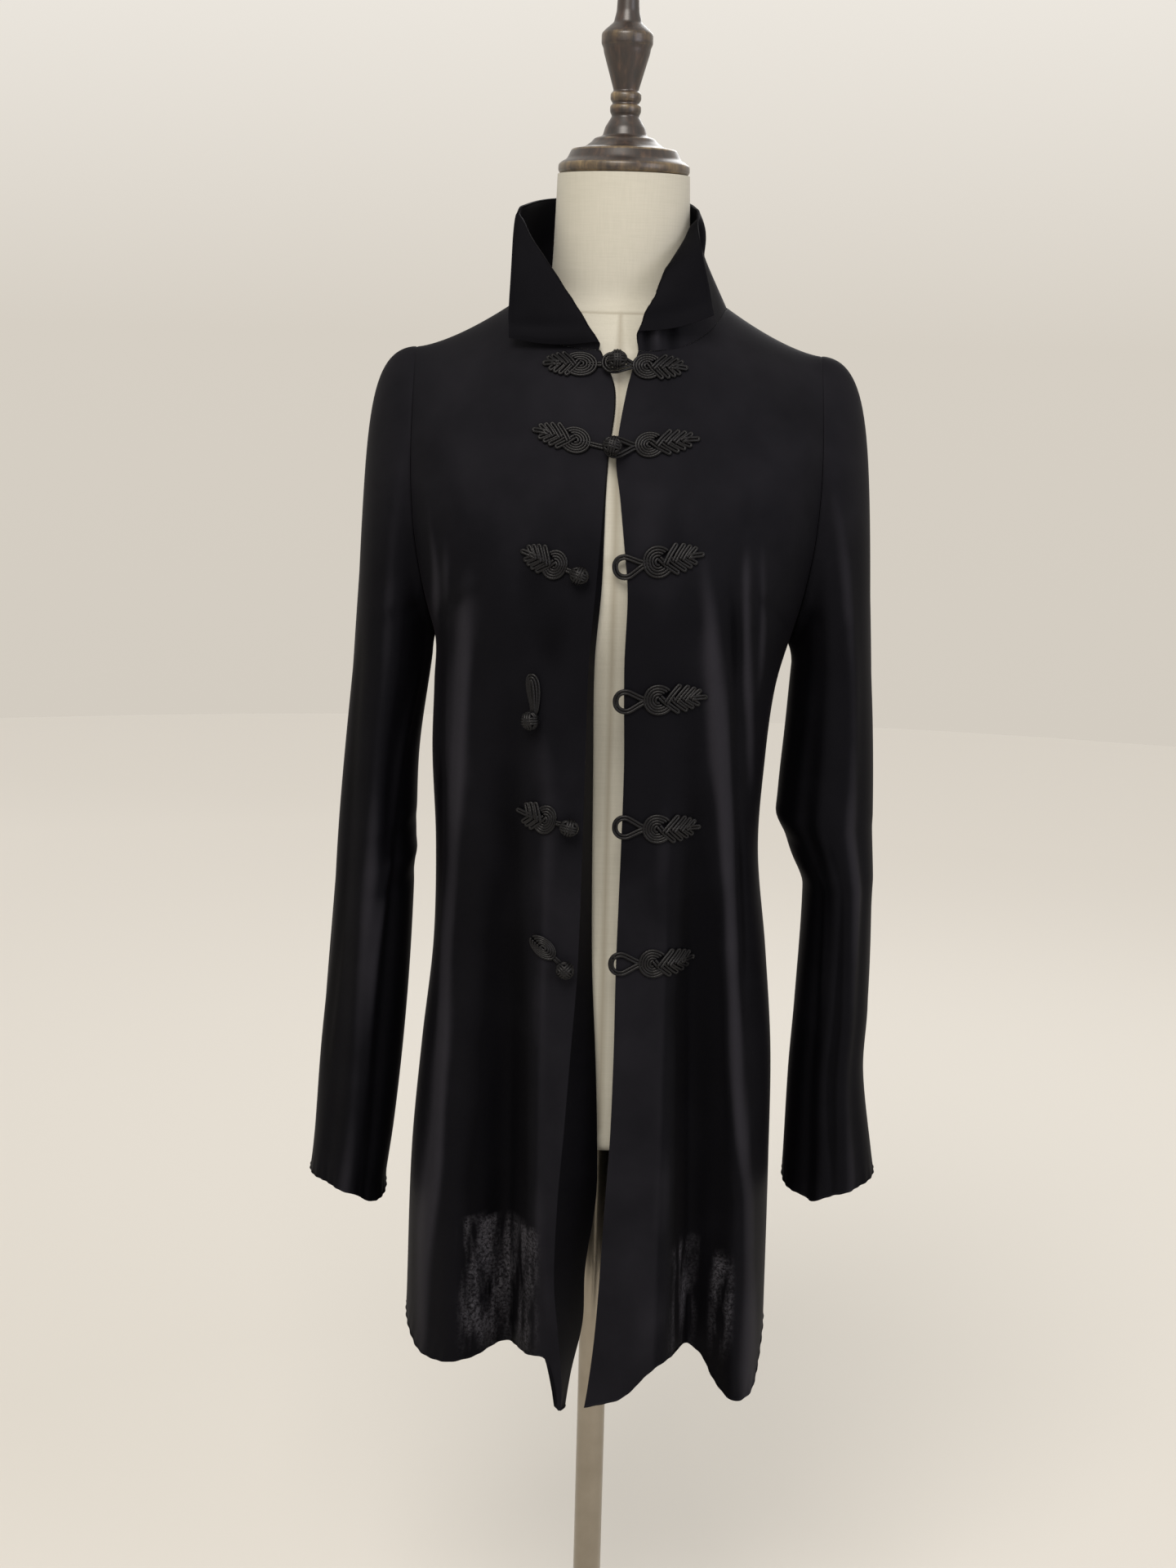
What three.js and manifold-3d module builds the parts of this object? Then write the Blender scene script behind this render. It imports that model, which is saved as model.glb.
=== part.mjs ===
// A long crepe shirt with six cord frogs, open down the front, on a limbless dress form with a turned
// neck cap, a chrome pole and a round foot.
// Millimetres, +Z up. The origin is on the floor under the pole, +Y points to the back of the shirt,
// and the wearer's left is at +X.
import * as THREE from "three";
import { mergeVertices } from "three/addons/utils/BufferGeometryUtils.js";
import Module from "manifold-3d";

const wasm = await Module();
wasm.setup();

// Driving dimensions.
const cloth = { wall: 1.2, seamGap: 0.4 };
const shoulder = { neckX: 89, neckZ: 1338, pointX: 170, pointZ: 1300, power: 1.45 };
const shoulderRoll = { drop: 100, fullness: 0.625 };
const armpitZ = 1060;
const sectionPower = 2.5;
const rows = { skirt: 13, yoke: 10 };
const columns = { neck: 5, shoulder: 7, facing: 3 };
const sleeveRows = { cap: 6, arm: 11 };
const collarRows = [-1, -0.6, -0.25, -0.08, 0.08, 0.25, 0.6, 1];
const collarEase = 0.12;
const frog = { clearance: 0.7, edge: 2.2, crown: 3.4 };
const knob = { radius: 8, flat: 0.85, sides: 10, rings: 7, stemRadius: 2.2, stemSides: 8 };
const form = { sides: 28, bottomZ: 624, bottomTuck: 0.94, neckTopZ: 1443 };
const capSides = 16;
const pole = { radius: 12.5, sides: 20 };
const foot = { radius: 160, rim: 10, slopeRadius: 88, slopeTop: 20, height: 26, sides: 36 };
const ferrule = { radius: 21, lip: 4, top: 52, bore: 13.7 };
const partingGap = 0.3;

const tone = { cloth: 0x17161a, cord: 0x0e0d10, linen: 0xe9e4d6, wood: 0x3b2a20, chrome: 0xc9c7c2 };

// The shirt's horizontal sections: half width on each side of the pole, depth to the front and the back.
const shirtSections = [
  { z: 380, right: 171, left: 153, front: 127, back: 118 },
  { z: 470, right: 169, left: 153, front: 126, back: 116 },
  { z: 600, right: 166, left: 152, front: 122, back: 110 },
  { z: 700, right: 158, left: 150, front: 119, back: 105 },
  { z: 790, right: 149, left: 142, front: 118, back: 97 },
  { z: 880, right: 148, left: 132, front: 118, back: 90 },
  { z: 960, right: 152, left: 135, front: 119, back: 91 },
  { z: 1020, right: 151, left: 141, front: 120, back: 95 },
  { z: 1060, right: 151, left: 151, front: 120, back: 99 },
  { z: 1110, right: 168, left: 168, front: 119, back: 102 },
  { z: 1160, right: 180, left: 180, front: 114, back: 104 },
  { z: 1220, right: 186, left: 186, front: 103, back: 102 },
  { z: 1300, right: 188, left: 188, front: 78, back: 86 },
  { z: 1360, right: 188, left: 188, front: 62, back: 64 },
];

// The armhole seam, from the armpit up to the shoulder point.
const armhole = [
  { z: 1060, x: 151 },
  { z: 1075, x: 154 },
  { z: 1110, x: 161 },
  { z: 1150, x: 167 },
  { z: 1200, x: 170 },
  { z: 1300, x: 170 },
];

// The two front edges; turnX and turnY say how far the wearer's right facing falls back from its fold.
const frontEdges = [
  { z: 395, right: -27, left: -9, turnX: 2, turnY: 4 },
  { z: 430, right: -27, left: -4, turnX: 8, turnY: 22 },
  { z: 470, right: -31, left: 0, turnX: 21, turnY: 34 },
  { z: 520, right: -36, left: 3, turnX: 27, turnY: 32 },
  { z: 590, right: -35, left: 6, turnX: 34, turnY: 25 },
  { z: 650, right: -31, left: 9, turnX: 29, turnY: 25 },
  { z: 715, right: -27, left: 10, turnX: 22, turnY: 22 },
  { z: 800, right: -22, left: 10, turnX: 12, turnY: 22 },
  { z: 960, right: -20, left: 12, turnX: 7, turnY: 30 },
  { z: 1050, right: -19, left: 10, turnX: 5, turnY: 16 },
  { z: 1110, right: -15, left: 11, turnX: 5, turnY: 4.5 },
  { z: 1150, right: -12, left: 7, turnX: 3, turnY: 3.4 },
  { z: 1185, right: -10, left: 3, turnX: 1.6, turnY: 3.2 },
  { z: 1218, right: -8, left: -1, turnX: 1.2, turnY: 2.6 },
  { z: 1269, right: -4, left: 6, turnX: 1.2, turnY: 2.4 },
  { z: 1302, right: -17, left: 15, turnX: 1.2, turnY: 2.2 },
];

const frontNeckline = [
  { x: 8, z: 1301 },
  { x: 30, z: 1302 },
  { x: 52, z: 1306 },
  { x: 75, z: 1320 },
  { x: 89, z: 1338 },
];
const backNeckline = [
  { x: 0, z: 1354 },
  { x: 45, z: 1351 },
  { x: 75, z: 1344 },
  { x: 89, z: 1338 },
];

// The hem, by how far across a panel it is: 0 at the front edge or the middle of the back, 1 at the side.
const hems = {
  right: [
    { across: 0, z: 404 },
    { across: 0.08, z: 408 },
    { across: 0.22, z: 440 },
    { across: 0.5, z: 428 },
    { across: 0.8, z: 410 },
    { across: 1, z: 444 },
  ],
  left: [
    { across: 0, z: 408 },
    { across: 0.2, z: 414 },
    { across: 0.36, z: 436 },
    { across: 0.55, z: 428 },
    { across: 0.85, z: 400 },
    { across: 1, z: 444 },
  ],
  back: [
    { across: 0, z: 474 },
    { across: 0.5, z: 470 },
    { across: 1, z: 448 },
  ],
};

// Hanging folds: where the trough lies at its top and at the hem, and how deep it gets.
const foldGrowth = { power: 1.3, most: 1.1, sidePower: 6 };
const folds = [
  { face: "front", topX: -88, hemX: -57, topZ: 1040, hemZ: 430, depth: 40, spread: 21 },
  { face: "front", topX: -128, hemX: -112, topZ: 900, hemZ: 430, depth: 9, spread: 14 },
  { face: "front", topX: 66, hemX: 62, topZ: 980, hemZ: 430, depth: 50, spread: 22 },
  { face: "front", topX: 112, hemX: 106, topZ: 1000, hemZ: 430, depth: 9, spread: 12 },
  { face: "back", topX: -66, hemX: -88, topZ: 830, hemZ: 460, depth: 32, spread: 24 },
  { face: "back", topX: -4, hemX: -12, topZ: 800, hemZ: 460, depth: 36, spread: 24 },
  { face: "back", topX: 60, hemX: 66, topZ: 840, hemZ: 460, depth: 31, spread: 23 },
];

// Sleeve sections: outer and inner edge as seen from the front, depth to each face, and their middle.
const sleeveSections = {
  right: [
    { z: 574, outer: 256, inner: 188, depth: 46, middle: -11 },
    { z: 620, outer: 251, inner: 182, depth: 47, middle: -11 },
    { z: 700, outer: 246, inner: 175, depth: 48, middle: -10 },
    { z: 800, outer: 238, inner: 168, depth: 50, middle: -8 },
    { z: 880, outer: 233, inner: 165, depth: 51, middle: -5 },
    { z: 960, outer: 227, inner: 164, depth: 53, middle: -2 },
    { z: 1040, outer: 221, inner: 154, depth: 54, middle: 0 },
  ],
  left: [
    { z: 590, outer: 245, inner: 164, depth: 46, middle: -11 },
    { z: 680, outer: 232, inner: 167, depth: 47, middle: -11 },
    { z: 740, outer: 234, inner: 170, depth: 48, middle: -10 },
    { z: 850, outer: 233, inner: 171, depth: 50, middle: -7 },
    { z: 905, outer: 230, inner: 147, depth: 52, middle: -4 },
    { z: 990, outer: 227, inner: 153, depth: 53, middle: -1 },
    { z: 1040, outer: 224, inner: 156, depth: 54, middle: 0 },
  ],
};
const cuffs = { right: { outer: 580, inner: 566 }, left: { outer: 596, inner: 594 } };
// The sleeve's cap: how far it swells from the armhole, and its tilt over the shoulder and under the arm.
const sleeveCap = { z: 1040, outward: 44, least: 5, power: 2.5, lean: 0.07, reach: 0.65 };
const sleeveTilt = { over: 0.06, under: 1.35 };
// Lengthwise sleeve folds, by their angle from the outer edge round the front, pressed in by their depth.
const sleeveFoldRun = 150;
const sleeveFolds = [
  { angle: 62, depth: 5, spread: 14 },
  { angle: 118, depth: 6, spread: 13 },
  { angle: 250, depth: 6, spread: 16 },
];

// The collar, from the middle of the back (0) by the shoulder seam (0.5) to the front end (1): the line
// where it folds out, and its free edge.
const collarSections = {
  right: [
    { along: 0, foldX: 0, foldY: 64, foldZ: 1392, edgeX: 0, edgeY: 68, edgeZ: 1428 },
    { along: 0.25, foldX: 58, foldY: 50, foldZ: 1388, edgeX: 60, edgeY: 52, edgeZ: 1426 },
    { along: 0.5, foldX: 87, foldY: -2, foldZ: 1380, edgeX: 84, edgeY: -4, edgeZ: 1417 },
    { along: 0.65, foldX: 76, foldY: -32, foldZ: 1392, edgeX: 90, edgeY: -26, edgeZ: 1396 },
    { along: 0.8, foldX: 55, foldY: -56, foldZ: 1368, edgeX: 93, edgeY: -44, edgeZ: 1364 },
    { along: 0.92, foldX: 36, foldY: -72, foldZ: 1334, edgeX: 94, edgeY: -56, edgeZ: 1328 },
    { along: 1, foldX: 23, foldY: -83, foldZ: 1309, edgeX: 91, edgeY: -62, edgeZ: 1309 },
  ],
  left: [
    { along: 0, foldX: 0, foldY: 64, foldZ: 1392, edgeX: 0, edgeY: 68, edgeZ: 1428 },
    { along: 0.25, foldX: 54, foldY: 48, foldZ: 1388, edgeX: 51, edgeY: 50, edgeZ: 1426 },
    { along: 0.5, foldX: 77, foldY: -2, foldZ: 1374, edgeX: 66, edgeY: -8, edgeZ: 1417 },
    { along: 0.65, foldX: 56, foldY: -34, foldZ: 1392, edgeX: 64, edgeY: -34, edgeZ: 1404 },
    { along: 0.8, foldX: 40, foldY: -62, foldZ: 1374, edgeX: 66, edgeY: -56, edgeZ: 1380 },
    { along: 0.92, foldX: 26, foldY: -74, foldZ: 1348, edgeX: 72, edgeY: -66, edgeZ: 1352 },
    { along: 1, foldX: 14, foldY: -82, foldZ: 1319, edgeX: 74, edgeY: -72, edgeZ: 1332 },
  ],
};

// Each frog: its looped or knobbed end and its leaf tip, in the plane of the front.
const buttonFrogs = [
  { name: "frog_button_1", endX: -2, endZ: 1290, tipX: -61, tipZ: 1289, closed: true },
  { name: "frog_button_2", endX: -4, endZ: 1223, tipX: -68, tipZ: 1237, closed: true },
  { name: "frog_button_3", endX: -28, endZ: 1123, tipX: -75, tipZ: 1141, closed: false },
  { name: "frog_button_4", endX: -62, endZ: 1004, tipX: -67, tipZ: 1042, closed: false },
  { name: "frog_button_5", endX: -32, endZ: 917, tipX: -74, tipZ: 927, closed: false },
  { name: "frog_button_6", endX: -32, endZ: 796, tipX: -63, tipZ: 824, closed: false },
];
const loopFrogs = [
  { name: "frog_loop_1", endX: -12, endZ: 1290, tipX: 54, tipZ: 1288, closed: true },
  { name: "frog_loop_2", endX: -14, endZ: 1222, tipX: 65, tipZ: 1233, closed: true },
  { name: "frog_loop_3", endX: 0, endZ: 1129, tipX: 71, tipZ: 1142, closed: false },
  { name: "frog_loop_4", endX: 2, endZ: 1021, tipX: 78, tipZ: 1026, closed: false },
  { name: "frog_loop_5", endX: 4, endZ: 917, tipX: 76, tipZ: 915, closed: false },
  { name: "frog_loop_6", endX: 6, endZ: 801, tipX: 75, tipZ: 802, closed: false },
];
// Half widths of a frog from its end to its tip, in parts of its length, and of the eye in its loop.
const loopOutline = [
  { part: 0, half: 3.4, eye: 0 },
  { part: 0.034, half: 6.6, eye: 0 },
  { part: 0.05, half: 7.8, eye: 3.4 },
  { part: 0.11, half: 10, eye: 7 },
  { part: 0.17, half: 8.8, eye: 5.4 },
  { part: 0.235, half: 6.2, eye: 0 },
  { part: 0.3, half: 6.6, eye: 0 },
  { part: 0.38, half: 11.5, eye: 0 },
  { part: 0.5, half: 13.5, eye: 0 },
  { part: 0.6, half: 11.5, eye: 0 },
  { part: 0.68, half: 12.5, eye: 0 },
  { part: 0.76, half: 8.5, eye: 0 },
  { part: 0.84, half: 8, eye: 0 },
  { part: 0.92, half: 4, eye: 0 },
  { part: 1, half: 1.2, eye: 0 },
];
const buttonOutline = [
  { part: -0.05, half: 2, eye: 0 },
  { part: 0.02, half: 3.2, eye: 0 },
  { part: 0.16, half: 3.4, eye: 0 },
  { part: 0.25, half: 8, eye: 0 },
  { part: 0.38, half: 12, eye: 0 },
  { part: 0.5, half: 11, eye: 0 },
  { part: 0.6, half: 12, eye: 0 },
  { part: 0.72, half: 8, eye: 0 },
  { part: 0.82, half: 7.5, eye: 0 },
  { part: 0.91, half: 3.5, eye: 0 },
  { part: 1, half: 1.2, eye: 0 },
];
// The eye of a fastened loop stands off the front under its knob, back on the front by `end`.
const eyeLift = { height: 5, end: 0.42, steep: 1.4 };

// The dress form: width of its full section, reach at its side, depth to each face, and how far its
// shoulders lie under the shirt's.
const formSections = [
  { z: 624, width: 130, reach: 130, front: 86, back: 82, under: 4 },
  { z: 690, width: 137, reach: 137, front: 90, back: 87, under: 4 },
  { z: 770, width: 134, reach: 134, front: 90, back: 83, under: 4 },
  { z: 860, width: 118, reach: 118, front: 82, back: 74, under: 4 },
  { z: 950, width: 110, reach: 110, front: 78, back: 70, under: 4 },
  { z: 1030, width: 122, reach: 122, front: 92, back: 80, under: 4 },
  { z: 1110, width: 140, reach: 134, front: 110, back: 92, under: 4 },
  { z: 1160, width: 168, reach: 146, front: 108, back: 98, under: 4 },
  { z: 1220, width: 182, reach: 158, front: 98.8, back: 97.6, under: 4 },
  { z: 1300, width: 184.4, reach: 165, front: 74, back: 81.2, under: 4.4 },
  { z: 1314, width: 184.4, reach: 165, front: 70, back: 77, under: 6 },
  { z: 1325, width: 184.4, reach: 165, front: 66, back: 72, under: 11 },
];
const formLevels = [
  634, 690, 770, 860, 950, 1030, 1080, 1120, 1165, 1210, 1250, 1280, 1294, 1304, 1314, 1325,
];
const formNeck = [
  { z: 1341, halfWidth: 61, halfDepth: 47.5 },
  { z: 1366, halfWidth: 57.8, halfDepth: 47.5 },
  { z: 1400, halfWidth: 56.2, halfDepth: 50.5 },
  { z: 1443, halfWidth: 54.8, halfDepth: 53 },
];

// The neck cap and finial, turned in one piece: radius at each height above the cap's underside.
const capProfile = [
  { up: 0, radius: 0 },
  { up: 0, radius: 52.5 },
  { up: 2.5, radius: 54.5 },
  { up: 7.5, radius: 54.3 },
  { up: 9.5, radius: 52 },
  { up: 12, radius: 47.5 },
  { up: 17, radius: 45 },
  { up: 20, radius: 43.5 },
  { up: 22, radius: 33 },
  { up: 26, radius: 27.5 },
  { up: 29, radius: 25 },
  { up: 31, radius: 18.5 },
  { up: 38, radius: 16.5 },
  { up: 47, radius: 11 },
  { up: 50, radius: 12.8 },
  { up: 55, radius: 12.8 },
  { up: 57, radius: 10.6 },
  { up: 60, radius: 12.8 },
  { up: 65, radius: 12.6 },
  { up: 67, radius: 10.2 },
  { up: 80, radius: 14 },
  { up: 97, radius: 19 },
  { up: 101, radius: 19.6 },
  { up: 104, radius: 21.2 },
  { up: 112, radius: 21.2 },
  { up: 115, radius: 18.6 },
  { up: 121, radius: 11.5 },
  { up: 130, radius: 9.4 },
  { up: 150, radius: 8.4 },
  { up: 162, radius: 10 },
  { up: 170, radius: 14 },
  { up: 180, radius: 15.5 },
  { up: 190, radius: 12 },
  { up: 196, radius: 0 },
];

// A smooth curve through a table's rows: column `wanted` where column `key` has the value.
function curve(table, key, wanted, value) {
  const last = table.length - 1;
  if (value <= table[0][key]) return table[0][wanted];
  if (value >= table[last][key]) return table[last][wanted];
  const i = table.findIndex((row) => row[key] > value) - 1;
  const slope = (k) => {
    const a = table[Math.max(k - 1, 0)];
    const b = table[Math.min(k + 1, last)];
    return (b[wanted] - a[wanted]) / (b[key] - a[key]);
  };
  const from = table[i];
  const to = table[i + 1];
  const span = to[key] - from[key];
  const t = (value - from[key]) / span;
  const rise = to[wanted] - from[wanted];
  const a = slope(i) * span - rise;
  const b = -slope(i + 1) * span + rise;
  return from[wanted] + t * rise + t * (1 - t) * (a * (1 - t) + b * t);
}

const clamp = THREE.MathUtils.clamp;
const mix = (a, b, t) => a + (b - a) * t;
const ease = (t) => (1 - Math.cos(Math.PI * t)) / 2;

// Height of the shoulder line, a concave curve from the neck out to the shoulder point.
function shoulderLine(x) {
  const { neckX, neckZ, pointX, pointZ, power } = shoulder;
  const inward = Math.max(pointX - Math.abs(x), 0) / (pointX - neckX);
  return pointZ + (neckZ - pointZ) * inward ** power;
}

// Depth of a rounded body at (x, z): a superellipse section that rolls over to nothing at the shoulder.
function rolledDepth(x, z, halfWidth, depth) {
  const across = Math.min(Math.abs(x) / halfWidth, 1);
  const section = depth * (1 - across ** sectionPower) ** (1 / sectionPower);
  const drop = clamp((shoulderLine(x) - z) / shoulderRoll.drop, 0, 1);
  return section * (1 - (1 - drop) ** 2) ** shoulderRoll.fullness;
}

function foldDepth(face, x, z) {
  let depth = 0;
  for (const fold of folds) {
    if (fold.face !== face) continue;
    const fallen = clamp((fold.topZ - z) / (fold.topZ - fold.hemZ), 0, foldGrowth.most);
    const middle = mix(fold.topX, fold.hemX, fallen);
    depth += fold.depth * fallen ** foldGrowth.power * Math.exp(-(((x - middle) / fold.spread) ** 2));
  }
  return depth;
}

// A point of the shirt's outside over (x, z), on its front or back face.
function shirtPoint(face, x, z) {
  const halfWidth = curve(shirtSections, "z", x < 0 ? "right" : "left", z);
  const depth = rolledDepth(x, z, halfWidth, curve(shirtSections, "z", face, z));
  const across = Math.min(Math.abs(x) / halfWidth, 1);
  const fold = foldDepth(face, x, z) * (1 - across ** foldGrowth.sidePower);
  const y = depth - fold + cloth.seamGap / 2;
  return new THREE.Vector3(x, face === "front" ? -y : y, z);
}

const sideSign = { right: -1, left: 1 };

// How far a panel reaches out at a height: to its side seam below the armpit, to the armhole above.
function outerEdge(side, z) {
  return z < armpitZ ? curve(shirtSections, "z", side, z) : curve(armhole, "z", "x", z);
}

// Height of a row in the column whose hem and top are given; a row always lies at the armpit.
function rowHeight(step, hemZ, topZ) {
  const below = step - rows.skirt;
  if (below <= 0) return mix(hemZ, armpitZ, step / rows.skirt);
  return mix(armpitZ, topZ, ease(below / rows.yoke));
}

// Where the neck corner of the shoulder seam lies across a panel whose inner edge is at edgeX.
function neckCorner(edgeX) {
  return (2 / Math.PI) * Math.asin((shoulder.neckX - edgeX) / (shoulder.pointX - edgeX));
}

const frontEndX = (side) => Math.abs(curve(frontEdges, "z", side, shoulder.neckZ));
const corners = {
  right: neckCorner(frontEndX("right")),
  left: neckCorner(frontEndX("left")),
  back: neckCorner(0),
};
const cornerSlack = 1e-9;

// A point of a front panel: across 0 at the front edge, 1 at the side; below 0 on the facing.
function frontPoint(side, across, step) {
  const spread = Math.sin((Math.max(across, 0) * Math.PI) / 2);
  const sign = sideSign[side];
  const topX = mix(frontEndX(side), shoulder.pointX, spread);
  const onNeck = across < corners[side] - cornerSlack;
  const topZ = onNeck ? curve(frontNeckline, "x", "z", topX) : shoulderLine(topX);
  const z = rowHeight(step, curve(hems[side], "across", "z", spread), topZ);
  const edgeX = curve(frontEdges, "z", side, z);
  const x = mix(edgeX, outerEdge(side, z) * sign, spread);
  const point = shirtPoint("front", x, z);
  if (across < 0) {
    point.x -= across * curve(frontEdges, "z", "turnX", z);
    point.y -= across * curve(frontEdges, "z", "turnY", z);
  }
  return point;
}

// A point of the back: across -1 at the wearer's right side, 1 at the left.
function backPoint(across, step) {
  const spread = Math.sin((across * Math.PI) / 2);
  const side = across < 0 ? "right" : "left";
  const topX = Math.abs(spread) * shoulder.pointX;
  const onNeck = Math.abs(across) < corners.back - cornerSlack;
  const topZ = onNeck ? curve(backNeckline, "x", "z", topX) : shoulderLine(topX);
  const z = rowHeight(step, curve(hems.back, "across", "z", Math.abs(spread)), topZ);
  return shirtPoint("back", spread * outerEdge(side, z), z);
}

// The unit normal of a surface at (u, v), by small steps kept inside its range.
const normalStep = 0.004;
function normalOf(surface, u, v, range) {
  const step = { u: (range.u1 - range.u0) * normalStep, v: (range.v1 - range.v0) * normalStep };
  const clampU = (value) => (range.closed ? value : clamp(value, range.u0, range.u1));
  const clampV = (value) => clamp(value, range.v0, range.v1);
  const alongU = surface(clampU(u + step.u), v).sub(surface(clampU(u - step.u), v));
  const alongV = surface(u, clampV(v + step.v)).sub(surface(u, clampV(v - step.v)));
  return alongU.cross(alongV).normalize();
}

function signedVolume(positions, index) {
  const a = new THREE.Vector3();
  const b = new THREE.Vector3();
  const c = new THREE.Vector3();
  let volume = 0;
  for (let i = 0; i < index.length; i += 3) {
    a.fromArray(positions, index[i] * 3);
    b.fromArray(positions, index[i + 1] * 3);
    c.fromArray(positions, index[i + 2] * 3);
    volume += a.dot(b.cross(c)) / 6;
  }
  return volume;
}

// A closed geometry from points and triangles, with its faces turned outwards.
function closedGeometry(points, index) {
  const positions = points.flatMap((p) => [p.x, p.y, p.z]);
  if (signedVolume(positions, index) < 0) {
    for (let i = 0; i < index.length; i += 3) [index[i + 1], index[i + 2]] = [index[i + 2], index[i + 1]];
  }
  const geometry = new THREE.BufferGeometry();
  geometry.setAttribute("position", new THREE.Float32BufferAttribute(positions, 3));
  geometry.setIndex(index);
  geometry.computeVertexNormals();
  return geometry;
}

// A cloth wall: the outside is surface(u, v) over the given values, the inside lies a wall's thickness in.
function wallGeometry(surface, us, vs, { closed = false, inward = 1 } = {}) {
  const range = { u0: us[0], u1: us[us.length - 1], v0: vs[0], v1: vs[vs.length - 1], closed };
  const outside = [];
  const inside = [];
  for (const v of vs) {
    for (const u of us) {
      const point = surface(u, v);
      outside.push(point);
      inside.push(point.clone().addScaledVector(normalOf(surface, u, v, range), inward * cloth.wall));
    }
  }
  const columns = us.length;
  const layer = outside.length;
  const index = [];
  const quad = (a, b, c, d) => index.push(a, b, c, a, c, d);
  const at = (i, j) => j * columns + (i % columns);
  for (let j = 0; j < vs.length - 1; j++) {
    for (let i = 0; i < (closed ? columns : columns - 1); i++) {
      quad(at(i, j), at(i + 1, j), at(i + 1, j + 1), at(i, j + 1));
      quad(layer + at(i, j + 1), layer + at(i + 1, j + 1), layer + at(i + 1, j), layer + at(i, j));
    }
  }
  const rim = [];
  for (let i = 0; i < (closed ? columns : columns - 1); i++) rim.push([at(i, 0), at(i + 1, 0)]);
  for (let i = 0; i < (closed ? columns : columns - 1); i++) {
    rim.push([at(i + 1, vs.length - 1), at(i, vs.length - 1)]);
  }
  if (!closed) {
    for (let j = 0; j < vs.length - 1; j++) {
      rim.push([at(0, j + 1), at(0, j)]);
      rim.push([at(columns - 1, j), at(columns - 1, j + 1)]);
    }
  }
  for (const [from, to] of rim) quad(to, from, layer + from, layer + to);
  return closedGeometry([...outside, ...inside], index);
}

const steps = (from, to, count) => Array.from({ length: count + 1 }, (_, i) => mix(from, to, i / count));

// Columns from a panel's inner edge to its neck corner, and on to the armhole.
const panelColumns = (corner) => [
  ...steps(0, corner, columns.neck),
  ...steps(corner, 1, columns.shoulder).slice(1),
];
const panelRows = steps(0, rows.skirt + rows.yoke, rows.skirt + rows.yoke);

function frontGeometry(side) {
  const across = panelColumns(corners[side]);
  if (side === "right") across.unshift(...steps(-1, 0, columns.facing).slice(0, -1));
  const surface = (u, v) => frontPoint(side, u, v);
  return wallGeometry(surface, across, panelRows, { inward: -sideSign[side] });
}

function backGeometry() {
  const half = panelColumns(corners.back);
  const across = [...half.slice(1).reverse().map((u) => -u), ...half];
  return wallGeometry(backPoint, across, panelRows);
}

// A sleeve: turn 0 at its outer edge, a quarter at the front, a half under the arm; down from the armhole.
function sleevePoint(side, turn, down) {
  const sign = sideSign[side];
  const wrapped = ((turn % 1) + 1) % 1;
  const face = wrapped <= 0.5 ? "front" : "back";
  const raised = Math.abs(1 - 2 * wrapped);
  const seamZ = mix(armpitZ, shoulder.pointZ, ease(raised));
  const seam = shirtPoint(face, outerEdge(side, seamZ) * sign, seamZ);
  if (wrapped === 0 || wrapped === 0.5) seam.y = 0;
  seam.x += sign * cloth.seamGap;
  const angle = wrapped * 2 * Math.PI;
  const ring = (level) => {
    const at = (column) => curve(sleeveSections[side], "z", column, level);
    const [outer, inner, depth] = [at("outer"), at("inner"), at("depth")];
    const fallen = clamp((sleeveCap.z - level) / sleeveFoldRun, 0, 1);
    let pressed = 0;
    for (const fold of sleeveFolds) {
      const off = THREE.MathUtils.euclideanModulo(wrapped * 360 - fold.angle + 180, 360) - 180;
      pressed += fallen * fold.depth * Math.exp(-((off / fold.spread) ** 2));
    }
    const scale = 1 - pressed / depth;
    const x = (outer + inner) / 2 + ((outer - inner) / 2) * scale * Math.cos(angle);
    return new THREE.Vector3(sign * x, at("middle") - depth * scale * Math.sin(angle), level);
  };
  if (down <= 1) {
    const end = ring(sleeveCap.z);
    const fall = (seam.z - end.z) * sleeveCap.reach;
    const outward = sleeveCap.outward * ((1 + Math.cos(angle)) / 2) ** sleeveCap.power;
    const out = sleeveCap.least + outward;
    const tilt = mix(sleeveTilt.over, sleeveTilt.under, 1 - raised);
    const swell = new THREE.Vector3(sign * out * Math.cos(tilt), 0, -out * Math.sin(tilt));
    const second = seam.clone().add(swell);
    const third = end.clone().add(new THREE.Vector3(-sign * sleeveCap.lean * fall, 0, fall));
    return new THREE.CubicBezierCurve3(seam, second, third, end).getPoint(Math.max(down, 0));
  }
  const cuff = cuffs[side];
  const cuffZ = mix(cuff.inner, cuff.outer, (1 + Math.cos(angle)) / 2);
  return ring(mix(sleeveCap.z, cuffZ, down - 1));
}

function sleeveGeometry(side) {
  const round = 2 * rows.yoke;
  const turns = steps(0, 1, round).slice(0, -1);
  const downs = [...steps(0, 1, sleeveRows.cap), ...steps(1, 2, sleeveRows.arm).slice(1)];
  const surface = (u, v) => sleevePoint(side, u, v);
  return wallGeometry(surface, turns, downs, { closed: true, inward: -sideSign[side] });
}

// The neck seam as the panels' columns have it: along 0 at the middle of the back, 1 at the front end.
function neckSeam(side, along) {
  const top = rows.skirt + rows.yoke;
  const vertex = (column) => {
    const behind = column < columns.neck;
    if (behind) return backPoint(sideSign[side] * corners.back * (column / columns.neck), top);
    return frontPoint(side, corners[side] * (2 - column / columns.neck), top);
  };
  const column = along * 2 * columns.neck;
  const first = Math.min(Math.floor(column), 2 * columns.neck - 1);
  return vertex(first).lerp(vertex(first + 1), column - first);
}

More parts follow.
